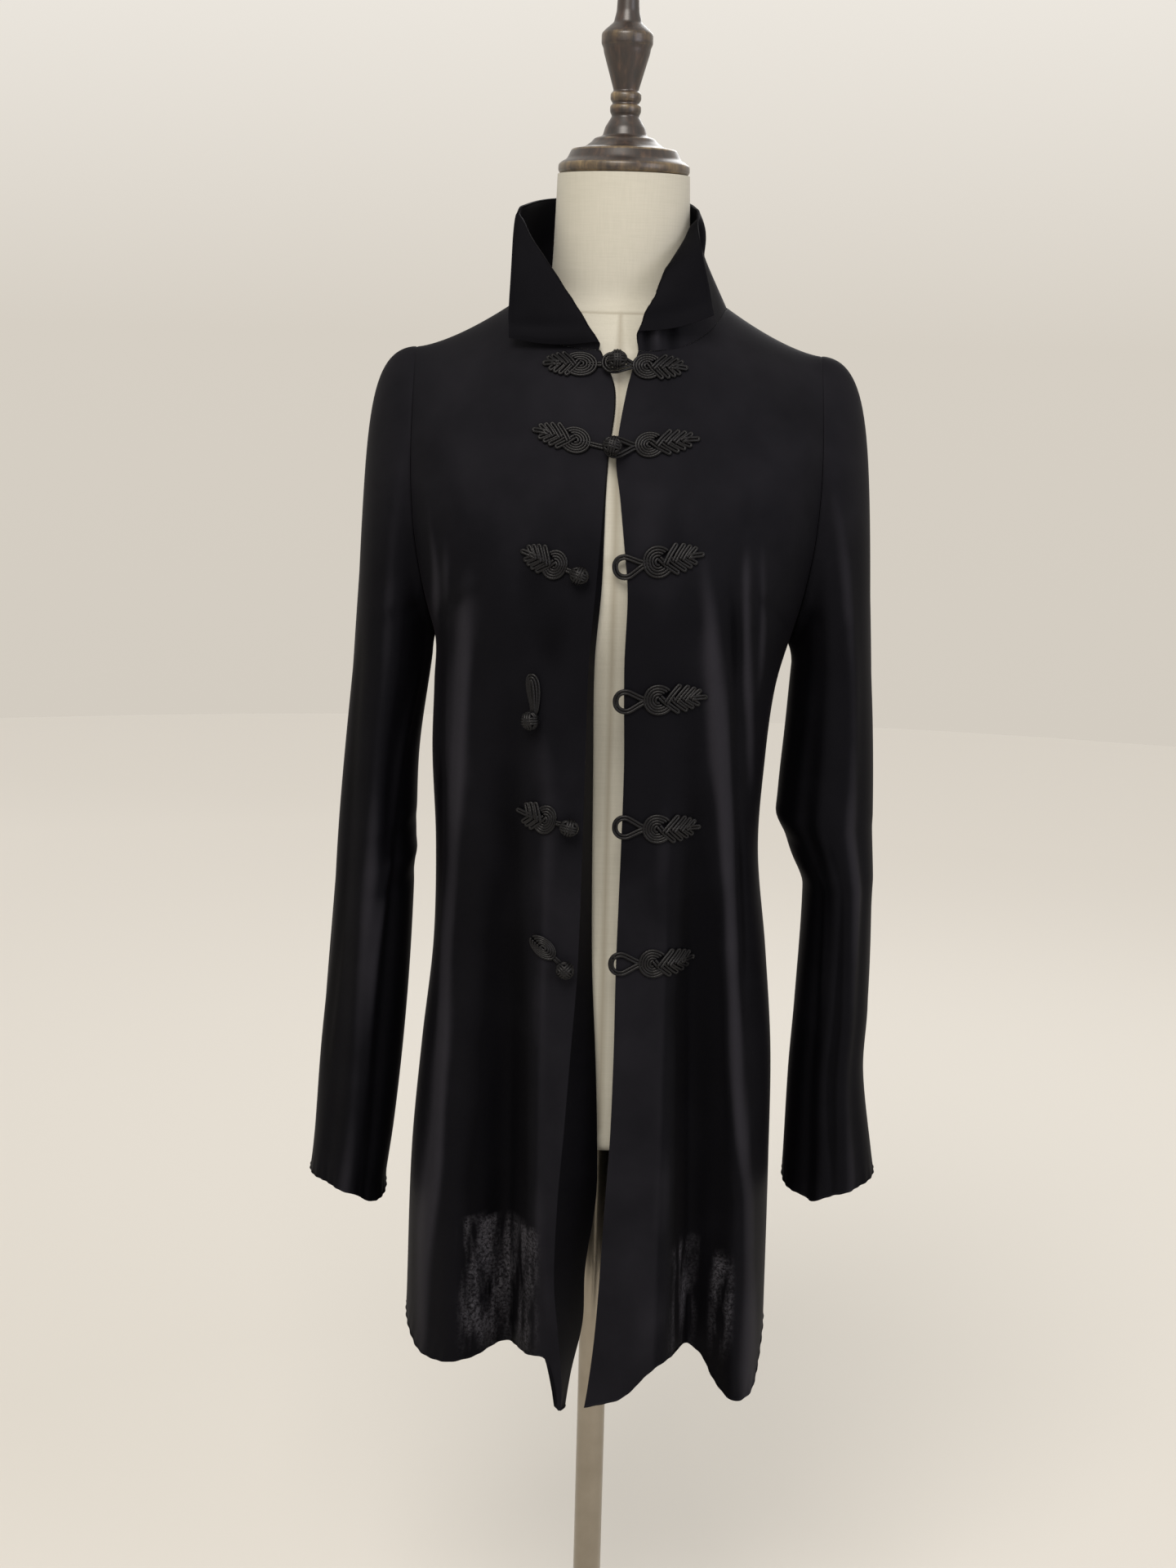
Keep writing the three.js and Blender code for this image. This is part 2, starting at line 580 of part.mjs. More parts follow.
// A point of the collar: round from -1 at the wearer's right front end to 1 at the left, 0 at the back;
// across from -1 at the neck seam over the fold (0) to 1 at the free edge.
function collarPoint(round, across) {
  const side = round < 0 ? "right" : "left";
  const sign = sideSign[side];
  const along = Math.min(Math.abs(round), 1);
  const sections = collarSections[side];
  const at = (column) => curve(sections, "along", column, along);
  const fold = new THREE.Vector3(sign * at("foldX"), at("foldY"), at("foldZ"));
  const edge = new THREE.Vector3(sign * at("edgeX"), at("edgeY"), at("edgeZ"));
  const seam = neckSeam(side, along);
  const rise = fold.clone().sub(seam).normalize().multiplyScalar(cloth.seamGap);
  seam.add(rise);
  const soft = (s) => (s + Math.sqrt(s * s + collarEase ** 2)) / 2;
  const share = (s) => (soft(s) - (soft(-1) * (1 - s)) / 2) / soft(1);
  const toSeam = seam.sub(fold).multiplyScalar(share(-across));
  const toEdge = edge.sub(fold).multiplyScalar(share(across));
  return fold.add(toSeam).add(toEdge);
}

function collarGeometry() {
  return wallGeometry(collarPoint, steps(-1, 1, 4 * columns.neck), collarRows);
}

function toSolid(geometry) {
  const bare = geometry.clone();
  bare.deleteAttribute("normal");
  bare.deleteAttribute("uv");
  const merged = mergeVertices(bare, 1e-4);
  const mesh = new wasm.Mesh({
    numProp: 3,
    vertProperties: merged.attributes.position.array,
    triVerts: new Uint32Array(merged.index.array),
  });
  return new wasm.Manifold(mesh);
}

function fromSolid(solid) {
  const mesh = solid.getMesh();
  const geometry = new THREE.BufferGeometry();
  geometry.setAttribute("position", new THREE.Float32BufferAttribute(mesh.vertProperties, 3));
  geometry.setIndex(Array.from(mesh.triVerts));
  geometry.computeVertexNormals();
  return geometry;
}

// A point of the fronts' outside at (x, z), moved out along the normal.
function aboveFront(x, z, height) {
  const base = shirtPoint("front", x, z);
  const alongX = shirtPoint("front", x + 2, z).sub(base);
  const alongZ = shirtPoint("front", x, z + 2).sub(base);
  return base.addScaledVector(alongX.cross(alongZ).normalize(), height);
}

// A frog's plate, laid on its front: a strip on each side of its middle line, parted round the eye, made
// of the front's own points moved out. `raise` lifts it further, by the part of its length.
function frogPlate(row, outline, raise) {
  const end = new THREE.Vector2(row.endX, row.endZ);
  const axis = new THREE.Vector2(row.tipX, row.tipZ).sub(end);
  const length = axis.length();
  axis.normalize();
  const points = [];
  const put = (part, aside, height) => {
    const x = end.x + axis.x * part * length - axis.y * aside;
    const z = end.y + axis.y * part * length + axis.x * aside;
    points.push(aboveFront(x, z, frog.clearance + raise(part) + height));
    return points.length - 1;
  };
  const stations = outline.map(({ part, half, eye }) => {
    const layer = (edgeHeight, crownHeight) => {
      const lower = put(part, -half, edgeHeight);
      const left = put(part, -eye, crownHeight);
      const right = eye > 0 ? put(part, eye, crownHeight) : left;
      return [lower, left, right, put(part, half, edgeHeight)];
    };
    return { eye, below: layer(0, 0), above: layer(frog.edge, frog.crown) };
  });
  const index = [];
  const quad = (a, b, c, d) => {
    if (a !== b && b !== c && a !== c) index.push(a, b, c);
    if (a !== c && c !== d && a !== d) index.push(a, c, d);
  };
  for (let i = 0; i < stations.length - 1; i++) {
    const { below: b, above: t } = stations[i];
    const { below: nb, above: nt } = stations[i + 1];
    for (const j of [0, 2]) {
      quad(t[j], nt[j], nt[j + 1], t[j + 1]);
      quad(b[j + 1], nb[j + 1], nb[j], b[j]);
    }
    quad(b[0], nb[0], nt[0], t[0]);
    quad(t[3], nt[3], nb[3], b[3]);
    if (stations[i].eye > 0 || stations[i + 1].eye > 0) {
      quad(t[1], nt[1], nb[1], b[1]);
      quad(b[2], nb[2], nt[2], t[2]);
    }
  }
  for (const [station, flip] of [[stations[0], false], [stations[stations.length - 1], true]]) {
    const { below: b, above: t } = station;
    const ends = [[b[0], t[0], t[1], b[1]], [b[2], t[2], t[3], b[3]]];
    for (const corners of ends) quad(...(flip ? corners.reverse() : corners));
  }
  return closedGeometry(points, index);
}

function loopFrogGeometry(row) {
  const down = (part) => ease(clamp((1 - part / eyeLift.end) * eyeLift.steep, 0, 1));
  return frogPlate(row, loopOutline, (part) => (row.closed ? eyeLift.height * down(part) : 0));
}

// A knobbed frog: its plate, a short stem and a flattened ball, which stands over the eye where fastened.
function knobFrogGeometry(row) {
  const plate = frogPlate(row, buttonOutline, () => 0);
  const stand = row.closed ? frog.crown + eyeLift.height + partingGap : frog.edge / 2;
  const foot = aboveFront(row.endX, row.endZ, frog.clearance + frog.edge / 2);
  const centre = aboveFront(row.endX, row.endZ, frog.clearance + stand + knob.radius * knob.flat);
  const outwards = centre.clone().sub(foot);
  const ball = new THREE.SphereGeometry(knob.radius, knob.sides, knob.rings).scale(1, knob.flat, 1);
  const { stemRadius, stemSides } = knob;
  const stem = new THREE.CylinderGeometry(stemRadius, stemRadius, outwards.length(), stemSides);
  stem.translate(0, -outwards.length() / 2, 0);
  const turn = new THREE.Quaternion().setFromUnitVectors(new THREE.Vector3(0, 1, 0), outwards.normalize());
  for (const piece of [ball, stem]) piece.applyQuaternion(turn).translate(centre.x, centre.y, centre.z);
  return fromSolid(toSolid(plate).add(toSolid(ball)).add(toSolid(stem)));
}

// The dress form: horizontal rings up to the neck seam, then a slightly tapered neck.
function formPoint(turn, z) {
  const angle = turn * 2 * Math.PI;
  const at = (column) => curve(formSections, "z", column, z);
  const { neckX, neckZ, pointX, pointZ, power } = shoulder;
  const top = z + at("under");
  const inward = (Math.max(top - pointZ, 0) / (neckZ - pointZ)) ** (1 / power);
  const x = Math.min(at("reach"), pointX - (pointX - neckX) * inward) * Math.sin(angle);
  const face = Math.cos(angle) > 0 ? "front" : "back";
  const y = Math.abs(Math.cos(angle)) < 1e-6 ? 0 : rolledDepth(x, top, at("width"), at(face));
  return new THREE.Vector3(x, face === "front" ? -y : y, z);
}

function formGeometry() {
  const turns = steps(0, 1, form.sides).slice(0, -1);
  const tuck = new THREE.Vector3(form.bottomTuck, form.bottomTuck, 1);
  const rings = [turns.map((turn) => formPoint(turn, form.bottomZ).multiply(tuck))];
  for (const z of formLevels) rings.push(turns.map((turn) => formPoint(turn, z)));
  for (const { z, halfWidth, halfDepth } of formNeck) {
    const round = (a) => new THREE.Vector3(halfWidth * Math.sin(a), -halfDepth * Math.cos(a), z);
    rings.push(turns.map((turn) => round(turn * 2 * Math.PI)));
  }
  const points = rings.flat();
  const index = [];
  const at = (i, j) => j * form.sides + (i % form.sides);
  for (let j = 0; j < rings.length - 1; j++) {
    for (let i = 0; i < form.sides; i++) {
      index.push(at(i, j), at(i + 1, j), at(i + 1, j + 1), at(i, j), at(i + 1, j + 1), at(i, j + 1));
    }
  }
  for (const [level, flip] of [[0, true], [rings.length - 1, false]]) {
    const centre = points.length;
    points.push(new THREE.Vector3(0, 0, rings[level][0].z));
    for (let i = 0; i < form.sides; i++) {
      if (flip) index.push(at(i, level), centre, at(i + 1, level));
      else index.push(centre, at(i, level), at(i + 1, level));
    }
  }
  return closedGeometry(points, index);
}

// A solid turned round the pole's axis, from rows of its height and radius.
function turned(profile, sides) {
  const points = profile.map((row) => new THREE.Vector2(row.radius, row.up));
  return new THREE.LatheGeometry(points, sides).rotateX(Math.PI / 2);
}

const group = new THREE.Group();
function addMesh(name, geometry, color, roughness, metalness = 0) {
  const mesh = new THREE.Mesh(geometry, new THREE.MeshStandardMaterial({ color, roughness, metalness }));
  mesh.name = name;
  group.add(mesh);
  return mesh;
}

const crepe = (name, geometry) => addMesh(name, geometry, tone.cloth, 0.62);
const cord = (name, geometry) => addMesh(name, geometry, tone.cord, 0.42);
crepe("front_right", frontGeometry("right"));
crepe("front_left", frontGeometry("left"));
crepe("back", backGeometry());
crepe("sleeve_right", sleeveGeometry("right"));
crepe("sleeve_left", sleeveGeometry("left"));
crepe("collar", collarGeometry());
for (const row of buttonFrogs) cord(row.name, knobFrogGeometry(row));
for (const row of loopFrogs) cord(row.name, loopFrogGeometry(row));

addMesh("dress_form", formGeometry(), tone.linen, 0.9);
const cap = addMesh("neck_cap", turned(capProfile, capSides), tone.wood, 0.5);
cap.position.z = form.neckTopZ + partingGap;
const poleEnds = { low: foot.height + partingGap, high: form.bottomZ - partingGap };
const poleProfile = [
  { up: poleEnds.low, radius: 0 },
  { up: poleEnds.low, radius: pole.radius },
  { up: poleEnds.high, radius: pole.radius },
  { up: poleEnds.high, radius: 0 },
];
addMesh("pole", turned(poleProfile, pole.sides), tone.chrome, 0.12, 1);
const footProfile = [
  { up: 0, radius: 0 },
  { up: 0, radius: foot.radius },
  { up: foot.rim, radius: foot.radius },
  { up: foot.slopeTop, radius: foot.slopeRadius },
  { up: foot.height, radius: ferrule.radius + ferrule.lip },
  { up: foot.height + ferrule.lip, radius: ferrule.radius },
  { up: ferrule.top, radius: ferrule.radius },
  { up: ferrule.top, radius: ferrule.bore },
  { up: foot.height, radius: ferrule.bore },
  { up: foot.height, radius: 0 },
];
addMesh("base", turned(footProfile, foot.sides), tone.chrome, 0.12, 1);

export default group;
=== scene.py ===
import bpy
import numpy as np
from mathutils import Matrix, Vector


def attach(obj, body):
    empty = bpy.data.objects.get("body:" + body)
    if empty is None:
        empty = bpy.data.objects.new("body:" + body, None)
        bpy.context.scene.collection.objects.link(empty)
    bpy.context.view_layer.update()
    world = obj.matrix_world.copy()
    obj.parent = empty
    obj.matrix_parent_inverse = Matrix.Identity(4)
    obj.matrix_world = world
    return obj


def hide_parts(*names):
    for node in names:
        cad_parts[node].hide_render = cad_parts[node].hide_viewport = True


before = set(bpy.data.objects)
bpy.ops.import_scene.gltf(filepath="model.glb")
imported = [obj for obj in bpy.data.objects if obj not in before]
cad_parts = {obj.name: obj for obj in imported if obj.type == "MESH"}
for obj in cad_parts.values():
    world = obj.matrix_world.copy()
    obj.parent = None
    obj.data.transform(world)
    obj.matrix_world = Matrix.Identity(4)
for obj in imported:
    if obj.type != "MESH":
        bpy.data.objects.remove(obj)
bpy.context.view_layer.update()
scene = bpy.context.scene
print("frame loaded:", len(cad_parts), "nodes")

# camera

camera = dict(x=-17, y=-2010, z=1320, pitchDown=11.0, roll=1.44, focalPixels=2884, longSidePixels=1920)


def addCamera():
    # placed, pitched down, then rolled about its own line of sight
    data = bpy.data.cameras.new("camera")
    data.sensor_width = 36
    data.lens = camera["focalPixels"] / camera["longSidePixels"] * data.sensor_width
    made = bpy.data.objects.new("camera", data)
    scene.collection.objects.link(made)
    place = Matrix.Translation([camera[axis] / 1000 for axis in "xyz"])
    tilt = Matrix.Rotation(np.radians(90 - camera["pitchDown"]), 4, "X")
    turn = Matrix.Rotation(np.radians(camera["roll"]), 4, "Z")
    made.matrix_world = place @ tilt @ turn
    scene.camera = made


addCamera()

# meshes from arrays


def makeMesh(name, points, faces, material, uv=None, values=None, sharp=None):
    # points in mm as an (n, 3) array; faces a list of (n, 3) or (n, 4) index arrays; uv and values by point
    mesh = bpy.data.meshes.new(name)
    mesh.from_pydata((points * 0.001).tolist(), [], [face for block in faces for face in block.tolist()])
    corners = np.empty(len(mesh.loops), np.int32)
    mesh.loops.foreach_get("vertex_index", corners)
    if uv is not None:
        layer = mesh.uv_layers.new(name="UVMap")
        layer.data.foreach_set("uv", (uv[corners] * 0.001).astype(np.float32).ravel())
    for key, value in (values or {}).items():
        attribute = mesh.attributes.new(key, "FLOAT", "POINT")
        attribute.data.foreach_set("value", value.astype(np.float32).ravel())
    mesh.shade_smooth()
    if sharp:
        mesh.set_sharp_from_angle(angle=np.radians(sharp))
    mesh.materials.append(material)
    made = bpy.data.objects.new(name, mesh)
    scene.collection.objects.link(made)
    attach(made, "root")
    return made


def gridQuads(rows, columns, closed=False, flip=False, start=0):
    # each quad joins a point, its neighbour along the row, and the two above them
    i = np.arange(columns if closed else columns - 1)
    j = np.arange(rows - 1)[:, None] * columns
    a, b = j + i, j + (i + 1) % columns
    quads = np.stack([a, b, b + columns, a + columns], -1).reshape(-1, 4)
    return (quads[:, ::-1] if flip else quads) + start


def ringFaces(rows, columns, flip=False):
    # quads between closed rings, and a fan from each end ring to its pole; the two poles follow the grid
    ring = np.arange(columns)
    after, top = (ring + 1) % columns, (rows - 1) * columns
    low = np.stack([np.full(columns, rows * columns), after, ring], -1)
    high = np.stack([np.full(columns, rows * columns + 1), top + ring, top + after], -1)
    order = [0, 2, 1] if flip else [0, 1, 2]
    return [gridQuads(rows, columns, True, flip), low[:, order], high[:, order]]


def gridNormals(points, closed=False):
    # the cross product of the steps along and up the grid, at unit length
    along = np.roll(points, -1, 1) - np.roll(points, 1, 1) if closed else np.gradient(points, axis=1)
    normals = np.cross(along, np.gradient(points, axis=0))
    return normals / np.maximum(np.linalg.norm(normals, axis=-1, keepdims=True), 1e-9)


def shell(points, wall, closed=False, flip=False):
    # a wall: the grid, the same grid moved in by the wall along its normals, and quads round the rim
    rows, columns = points.shape[:2]
    count = rows * columns
    inward = gridNormals(points, closed) * (1 if flip else -1)
    inside = points + inward * np.broadcast_to(wall, points.shape[:2])[..., None]
    at = np.arange(count).reshape(rows, columns)
    level = np.append(at, at[:, :1], 1) if closed else at
    borders = [(level[0, :-1], level[0, 1:]), (level[-1, 1:], level[-1, :-1])]
    if not closed:
        borders += [(at[1:, 0], at[:-1, 0]), (at[:-1, -1], at[1:, -1])]
    rims = [np.stack([b, a, count + a, count + b], -1) for a, b in borders]
    faces = [gridQuads(rows, columns, closed, flip), gridQuads(rows, columns, closed, not flip, count)]
    faces += [rim[:, ::-1] if flip else rim for rim in rims]
    return np.concatenate([points.reshape(-1, 3), inside.reshape(-1, 3)]), faces


def tube(path, up, radius, sides=8, ring=False):
    # a circle carried along a path: each station's frame is its tangent, the given up and their cross
    if ring:
        tangent = np.roll(path, -1, 0) - np.roll(path, 1, 0)
    else:
        tangent = np.gradient(path, axis=0)
    tangent /= np.maximum(np.linalg.norm(tangent, axis=1, keepdims=True), 1e-9)
    aside = np.cross(tangent, up)
    aside /= np.maximum(np.linalg.norm(aside, axis=1, keepdims=True), 1e-9)
    over = np.cross(aside, tangent)
    angle = np.linspace(0, 2 * np.pi, sides, endpoint=False)
    circle = aside[:, None] * np.cos(angle)[:, None] + over[:, None] * np.sin(angle)[:, None]
    points = (path[:, None] + circle * np.broadcast_to(radius, len(path))[:, None, None]).reshape(-1, 3)
    run = np.concatenate([[0], np.cumsum(np.linalg.norm(np.diff(path, axis=0), axis=1))])
    uv = np.stack(np.broadcast_arrays(run[:, None], angle * np.max(radius)), -1).reshape(-1, 2)
    if ring:
        rows = len(path)
        quads = gridQuads(rows + 1, sides, closed=True, flip=True) % (rows * sides)
        return points, [quads], uv
    points = np.concatenate([points, path[:1], path[-1:]])
    uv = np.concatenate([uv, [[0, 0], [run[-1], 0]]])
    return points, ringFaces(len(path), sides, flip=True), uv


def joined(parts):
    # several pieces as one: their points in a row, their faces renumbered
    starts = np.concatenate([[0], np.cumsum([len(part[0]) for part in parts])[:-1]]).astype(int)
    faces = [face + start for part, start in zip(parts, starts) for face in part[1]]
    return np.concatenate([part[0] for part in parts]), faces, np.concatenate([part[2] for part in parts])


def curveAt(keys, values, at):
    # a cubic through the rows, each row's slope taken from its two neighbours, held flat past the ends
    keys, values = np.asarray(keys, float), np.asarray(values, float)
    at = np.clip(at, keys[0], keys[-1])
    i = np.clip(np.searchsorted(keys, at, side="right") - 1, 0, len(keys) - 2)
    k = np.arange(len(keys))
    low, high = np.maximum(k - 1, 0), np.minimum(k + 1, len(keys) - 1)
    more = (1,) * (values.ndim - 1)  # a row's value may itself be an array
    slope = (values[high] - values[low]) / (keys[high] - keys[low]).reshape(-1, *more)
    span, rise = keys[i + 1] - keys[i], values[i + 1] - values[i]
    span, t = (np.reshape(part, (*np.shape(part), *more)) for part in (span, (at - keys[i]) / span))
    a, b = slope[i] * span - rise, rise - slope[i + 1] * span
    return values[i] + t * rise + t * (1 - t) * (a * (1 - t) + b * t)


def smooth(low, high, value):
    # 0 up to low and 1 from high on, with three t squared less two t cubed between them
    t = np.clip((value - low) / (high - low), 0, 1)
    return t * t * (3 - 2 * t)


# materials


def srgb(code):
    # a hex colour turned to linear light
    part = np.array([int(code[i:i + 2], 16) for i in (1, 3, 5)]) / 255
    linear = np.where(part <= 0.04045, part / 12.92, ((part + 0.055) / 1.055) ** 2.4)
    return (*linear.tolist(), 1.0)


def add(tree, kind, inputs=None, output=0, to=None, stops=(), **settings):
    # adds a node and gives its output; inputs take a value or another node's output, stops are the
    # places and colours of a ramp, and to is a socket that the output is linked to
    made = tree.nodes.new("ShaderNode" + kind)
    for key, value in settings.items():
        setattr(made, key, value)
    for key, value in (inputs or {}).items():
        if isinstance(value, bpy.types.NodeSocket):
            tree.links.new(value, made.inputs[key])
        else:
            made.inputs[key].default_value = value
    for _ in stops[2:]:
        made.color_ramp.elements.new(0.5)
    for k, (place, colour) in enumerate(stops):
        made.color_ramp.elements[k].position = place
        made.color_ramp.elements[k].color = srgb(colour)
    if to:
        tree.links.new(made.outputs[output], to)
    return made.outputs[output]


def newMaterial(name, **shader):
    # a material with these values on its shader's sockets, its node tree, and the sockets by name
    made = bpy.data.materials.new(name)
    made.use_nodes = True
    sockets = made.node_tree.nodes["Principled BSDF"].inputs
    for key, value in shader.items():
        sockets[key].default_value = value
    return made, made.node_tree, sockets


# painted light: the hollow colour is painted shade, the crest colour a painted highlight, and the two sheer
# colours painted light that comes through a single layer
crepe = dict(
    hollow_shade="#010102", plain="#0a0a0d", painted_light="#29282d", backlightDark="#0b0a0c", backlightLight="#46454a",
    bloom="#b7aebc", shine="#f0eeff",
    # sizes in mm: the grain is drawn about twice as coarse as it is, so that it shows
    grain=1.3, cloud=55, mottle=2.6, streakWidth=13, streakLength=60,
)


def crepeMaterial():
    # black viscose crepe: matt, with a pebbled grain and a soft bloom at grazing angles; its colour holds a
    # painted highlight on crests, painted shade in hollows, and a streaky grey of painted light where a
    # single layer lets light through
    made, tree, sockets = newMaterial("black_crepe", **{
        "Roughness": 0.66, "Specular IOR Level": 0.06, "Specular Tint": srgb(crepe["shine"]),
        "Sheen Weight": 0.02, "Sheen Roughness": 0.35, "Sheen Tint": srgb(crepe["bloom"]),
    })
    place = add(tree, "TexCoord", output="Object")
    cloud = add(tree, "TexNoise", {"Vector": place, "Scale": 1000 / crepe["cloud"], "Detail": 3.0})
    grain = add(tree, "TexNoise", {"Vector": place, "Scale": 1000 / crepe["grain"], "Detail": 2.0})
    # painted light: the crest attribute turns the colour into a painted highlight on ridges and painted shade
    # in hollows, with random unevenness on top
    painted_light = add(tree, "Attribute", output="Fac", attribute_name="painted_light")
    uneven = add(tree, "Math", {0: cloud, 1: 0.3, 2: -0.15}, operation="MULTIPLY_ADD")
    rise = add(tree, "Math", {0: painted_light, 1: uneven}, operation="ADD")
    cloth = add(tree, "ValToRGB", {"Fac": rise}, stops=[
        (0.0, crepe["hollow_shade"]), (0.3, crepe["plain"]), (1.0, crepe["painted_light"]),
    ])
    mottle = add(tree, "TexNoise", {
        "Vector": place, "Scale": 1000 / crepe["mottle"], "Detail": 4.0, "Roughness": 0.8,
    })
    painted_backlight = add(tree, "ValToRGB", {"Fac": mottle}, stops=[
        (0.4, crepe["backlightDark"]), (0.64, crepe["backlightLight"]),
    ])
    level, upright = 1000 / crepe["streakWidth"], 1000 / crepe["streakLength"]
    drawn = add(tree, "Mapping", {"Vector": place, "Scale": (level, level, upright)})
    streak = add(tree, "TexNoise", {"Vector": drawn, "Scale": 1.0, "Detail": 2.0})
    strong = add(tree, "MapRange", {"Value": streak, "From Min": 0.38, "From Max": 0.62})
    # painted light: where light comes through a single layer, a streaky grey is mixed into the colour
    thin = add(tree, "Attribute", output="Fac", attribute_name="painted_backlight")
    share = add(tree, "Math", {0: thin, 1: strong}, operation="MULTIPLY")
    add(tree, "Mix", {0: share, 6: cloth, 7: painted_backlight}, output=2, to=sockets["Base Color"], data_type="RGBA")
    add(tree, "Bump", {"Height": grain, "Strength": 0.22, "Distance": 0.0004}, to=sockets["Normal"])
    return made


rattail = dict(dark="#060607", light="#0d0c0f", slant=38, waveScale=160.0)  # a turn of the cover every 2 mm


def cordMaterial():
    # black satin rattail cord: glossier than the cloth, with the fine slant of its twisted cover
    made, tree, sockets = newMaterial("black_satin_cord", **{"Roughness": 0.38, "Specular IOR Level": 0.22})
    place = add(tree, "UVMap")
    slant = add(tree, "Mapping", {"Vector": place, "Rotation": (0, 0, np.radians(rattail["slant"]))})
    twist = add(tree, "TexWave", {
        "Vector": slant, "Scale": rattail["waveScale"], "Distortion": 0.4,
    }, output="Fac")
    add(tree, "ValToRGB", {"Fac": twist}, to=sockets["Base Color"], stops=[
        (0.0, rattail["dark"]), (1.0, rattail["light"]),
    ])
    add(tree, "Bump", {"Height": twist, "Strength": 0.16, "Distance": 0.0003}, to=sockets["Normal"])
    return made


linen = dict(dark="#aba89c", light="#b1aea2", seam="#857e6e", thread=0.7, slub=26)  # thread and slub in mm


def linenMaterial():
    # bleached linen stretched over the form: matt, plain weave, with slubs that run up and down
    made, tree, sockets = newMaterial("bleached_linen", **{
        "Roughness": 0.88, "Specular IOR Level": 0.25, "Sheen Weight": 0.1,
    })
    place = add(tree, "TexCoord", output="Object")
    across, along = 1000 / linen["thread"], 1000 / linen["slub"]
    upright = add(tree, "Mapping", {"Vector": place, "Scale": (across, across, along)})
    level = add(tree, "Mapping", {"Vector": place, "Scale": (along * 1.6, along * 1.6, across)})
    warp = add(tree, "TexNoise", {"Vector": upright, "Scale": 0.6, "Detail": 2.0})
    weft = add(tree, "TexNoise", {"Vector": level, "Scale": 0.7, "Detail": 2.0})
    both = add(tree, "Math", {0: warp, 1: weft}, operation="ADD")
    half = add(tree, "Math", {0: both, 1: 0.5}, operation="MULTIPLY")
    tint = add(tree, "ValToRGB", {"Fac": half}, stops=[(0.34, linen["dark"]), (0.62, linen["light"])])
    seam = add(tree, "Attribute", output="Fac", attribute_name="seam")
    add(tree, "Mix", {0: seam, 6: tint, 7: srgb(linen["seam"])}, output=2, to=sockets["Base Color"],
        data_type="RGBA")
    add(tree, "Bump", {"Height": half, "Strength": 0.1, "Distance": 0.0003}, to=sockets["Normal"])
    return made


wood = dict(
    stain=[(0.3, "#150f0c"), (0.55, "#281c15"), (0.8, "#493629")], worn=[(0.3, "#46392a"), (0.7, "#7a6849")],
    grainWidth=3, grainLength=26, patch=16,  # in mm
)


def woodMaterial():
    # turned beech, stained near black and waxed: brown grain shows through, and the edges are rubbed
    made, tree, sockets = newMaterial("stained_beech", **{
        "Roughness": 0.4, "Specular IOR Level": 0.55, "Coat Weight": 0.25, "Coat Roughness": 0.3,
    })
    place = add(tree, "TexCoord", output="Object")
    level, upright = 1000 / wood["grainWidth"], 1000 / wood["grainLength"]
    stretched = add(tree, "Mapping", {"Vector": place, "Scale": (level, level, upright)})
    grain = add(tree, "TexNoise", {"Vector": stretched, "Scale": 0.7, "Detail": 6.0})
    patch = add(tree, "TexNoise", {
        "Vector": place, "Scale": 1000 / wood["patch"], "Detail": 5.0, "Roughness": 0.65,
    })
    stain = add(tree, "ValToRGB", {"Fac": grain}, stops=wood["stain"])
    worn = add(tree, "ValToRGB", {"Fac": grain}, stops=wood["worn"])
    wear = add(tree, "Attribute", output="Fac", attribute_name="wear")
    rubbed = add(tree, "Math", {0: wear, 1: patch}, operation="MULTIPLY")
    amount = add(tree, "MapRange", {"Value": rubbed, "From Min": 0.28, "From Max": 0.6})
    add(tree, "Mix", {0: amount, 6: stain, 7: worn}, output=2, to=sockets["Base Color"], data_type="RGBA")
    add(tree, "Bump", {"Height": grain, "Strength": 0.2, "Distance": 0.0004}, to=sockets["Normal"])
    return made


chrome = dict(stops=[(0.3, "#8f877a"), (0.7, "#989083")], marks=22)  # marks in mm


def chromeMaterial():
    # chromed steel tube, dulled by handling: bands of light run down it, soft at their edges
    made, tree, sockets = newMaterial("chromed_steel", **{"Metallic": 1.0, "Roughness": 0.3})
    place = add(tree, "TexCoord", output="Object")
    marks = add(tree, "TexNoise", {"Vector": place, "Scale": 1000 / chrome["marks"], "Detail": 5.0})
    add(tree, "ValToRGB", {"Fac": marks}, to=sockets["Base Color"], stops=chrome["stops"])
    return made


black = crepeMaterial()
satin = cordMaterial()
bleached = linenMaterial()
beech = woodMaterial()
chromed = chromeMaterial()
print("materials made")

# the shirt's form

shirt = dict(
    wall=0.9, seamGap=0.06, armpit=1060, sectionPower=2.5, rowsBelow=13, rowsAbove=10,
    borderX=54, neckX=89, neckZ=1338, pointX=170, pointZ=1300, shoulderPower=1.45, rollDrop=100,
    rollFullness=0.625, foldGrowth=1.3, foldBlend=4, foldEnd=6, creaseEnd=10, creaseFade=12,
    waveFade=(1290, 1120),
    z=[380, 470, 600, 700, 790, 880, 960, 1020, 1060, 1110, 1160, 1220, 1300, 1360],
    right=[171, 169, 166, 158, 149, 148, 152, 151, 151, 168, 180, 186, 188, 188],
    left=[153, 153, 152, 150, 142, 132, 135, 141, 151, 168, 180, 186, 188, 188],
    front=[127, 126, 122, 119, 118, 118, 119, 120, 120, 119, 114, 103, 78, 62],
    back=[118, 116, 110, 105, 97, 90, 91, 95, 99, 102, 104, 102, 86, 64],
    armholeZ=[1060, 1075, 1110, 1150, 1200, 1300],
    armholeX=[151, 154, 161, 167, 170, 170],
    frontNeck=dict(x=[8, 30, 52, 75, 89], z=[1301, 1302, 1306, 1320, 1338]),
    backNeck=dict(x=[0, 45, 75, 89], z=[1354, 1351, 1344, 1338]),
)
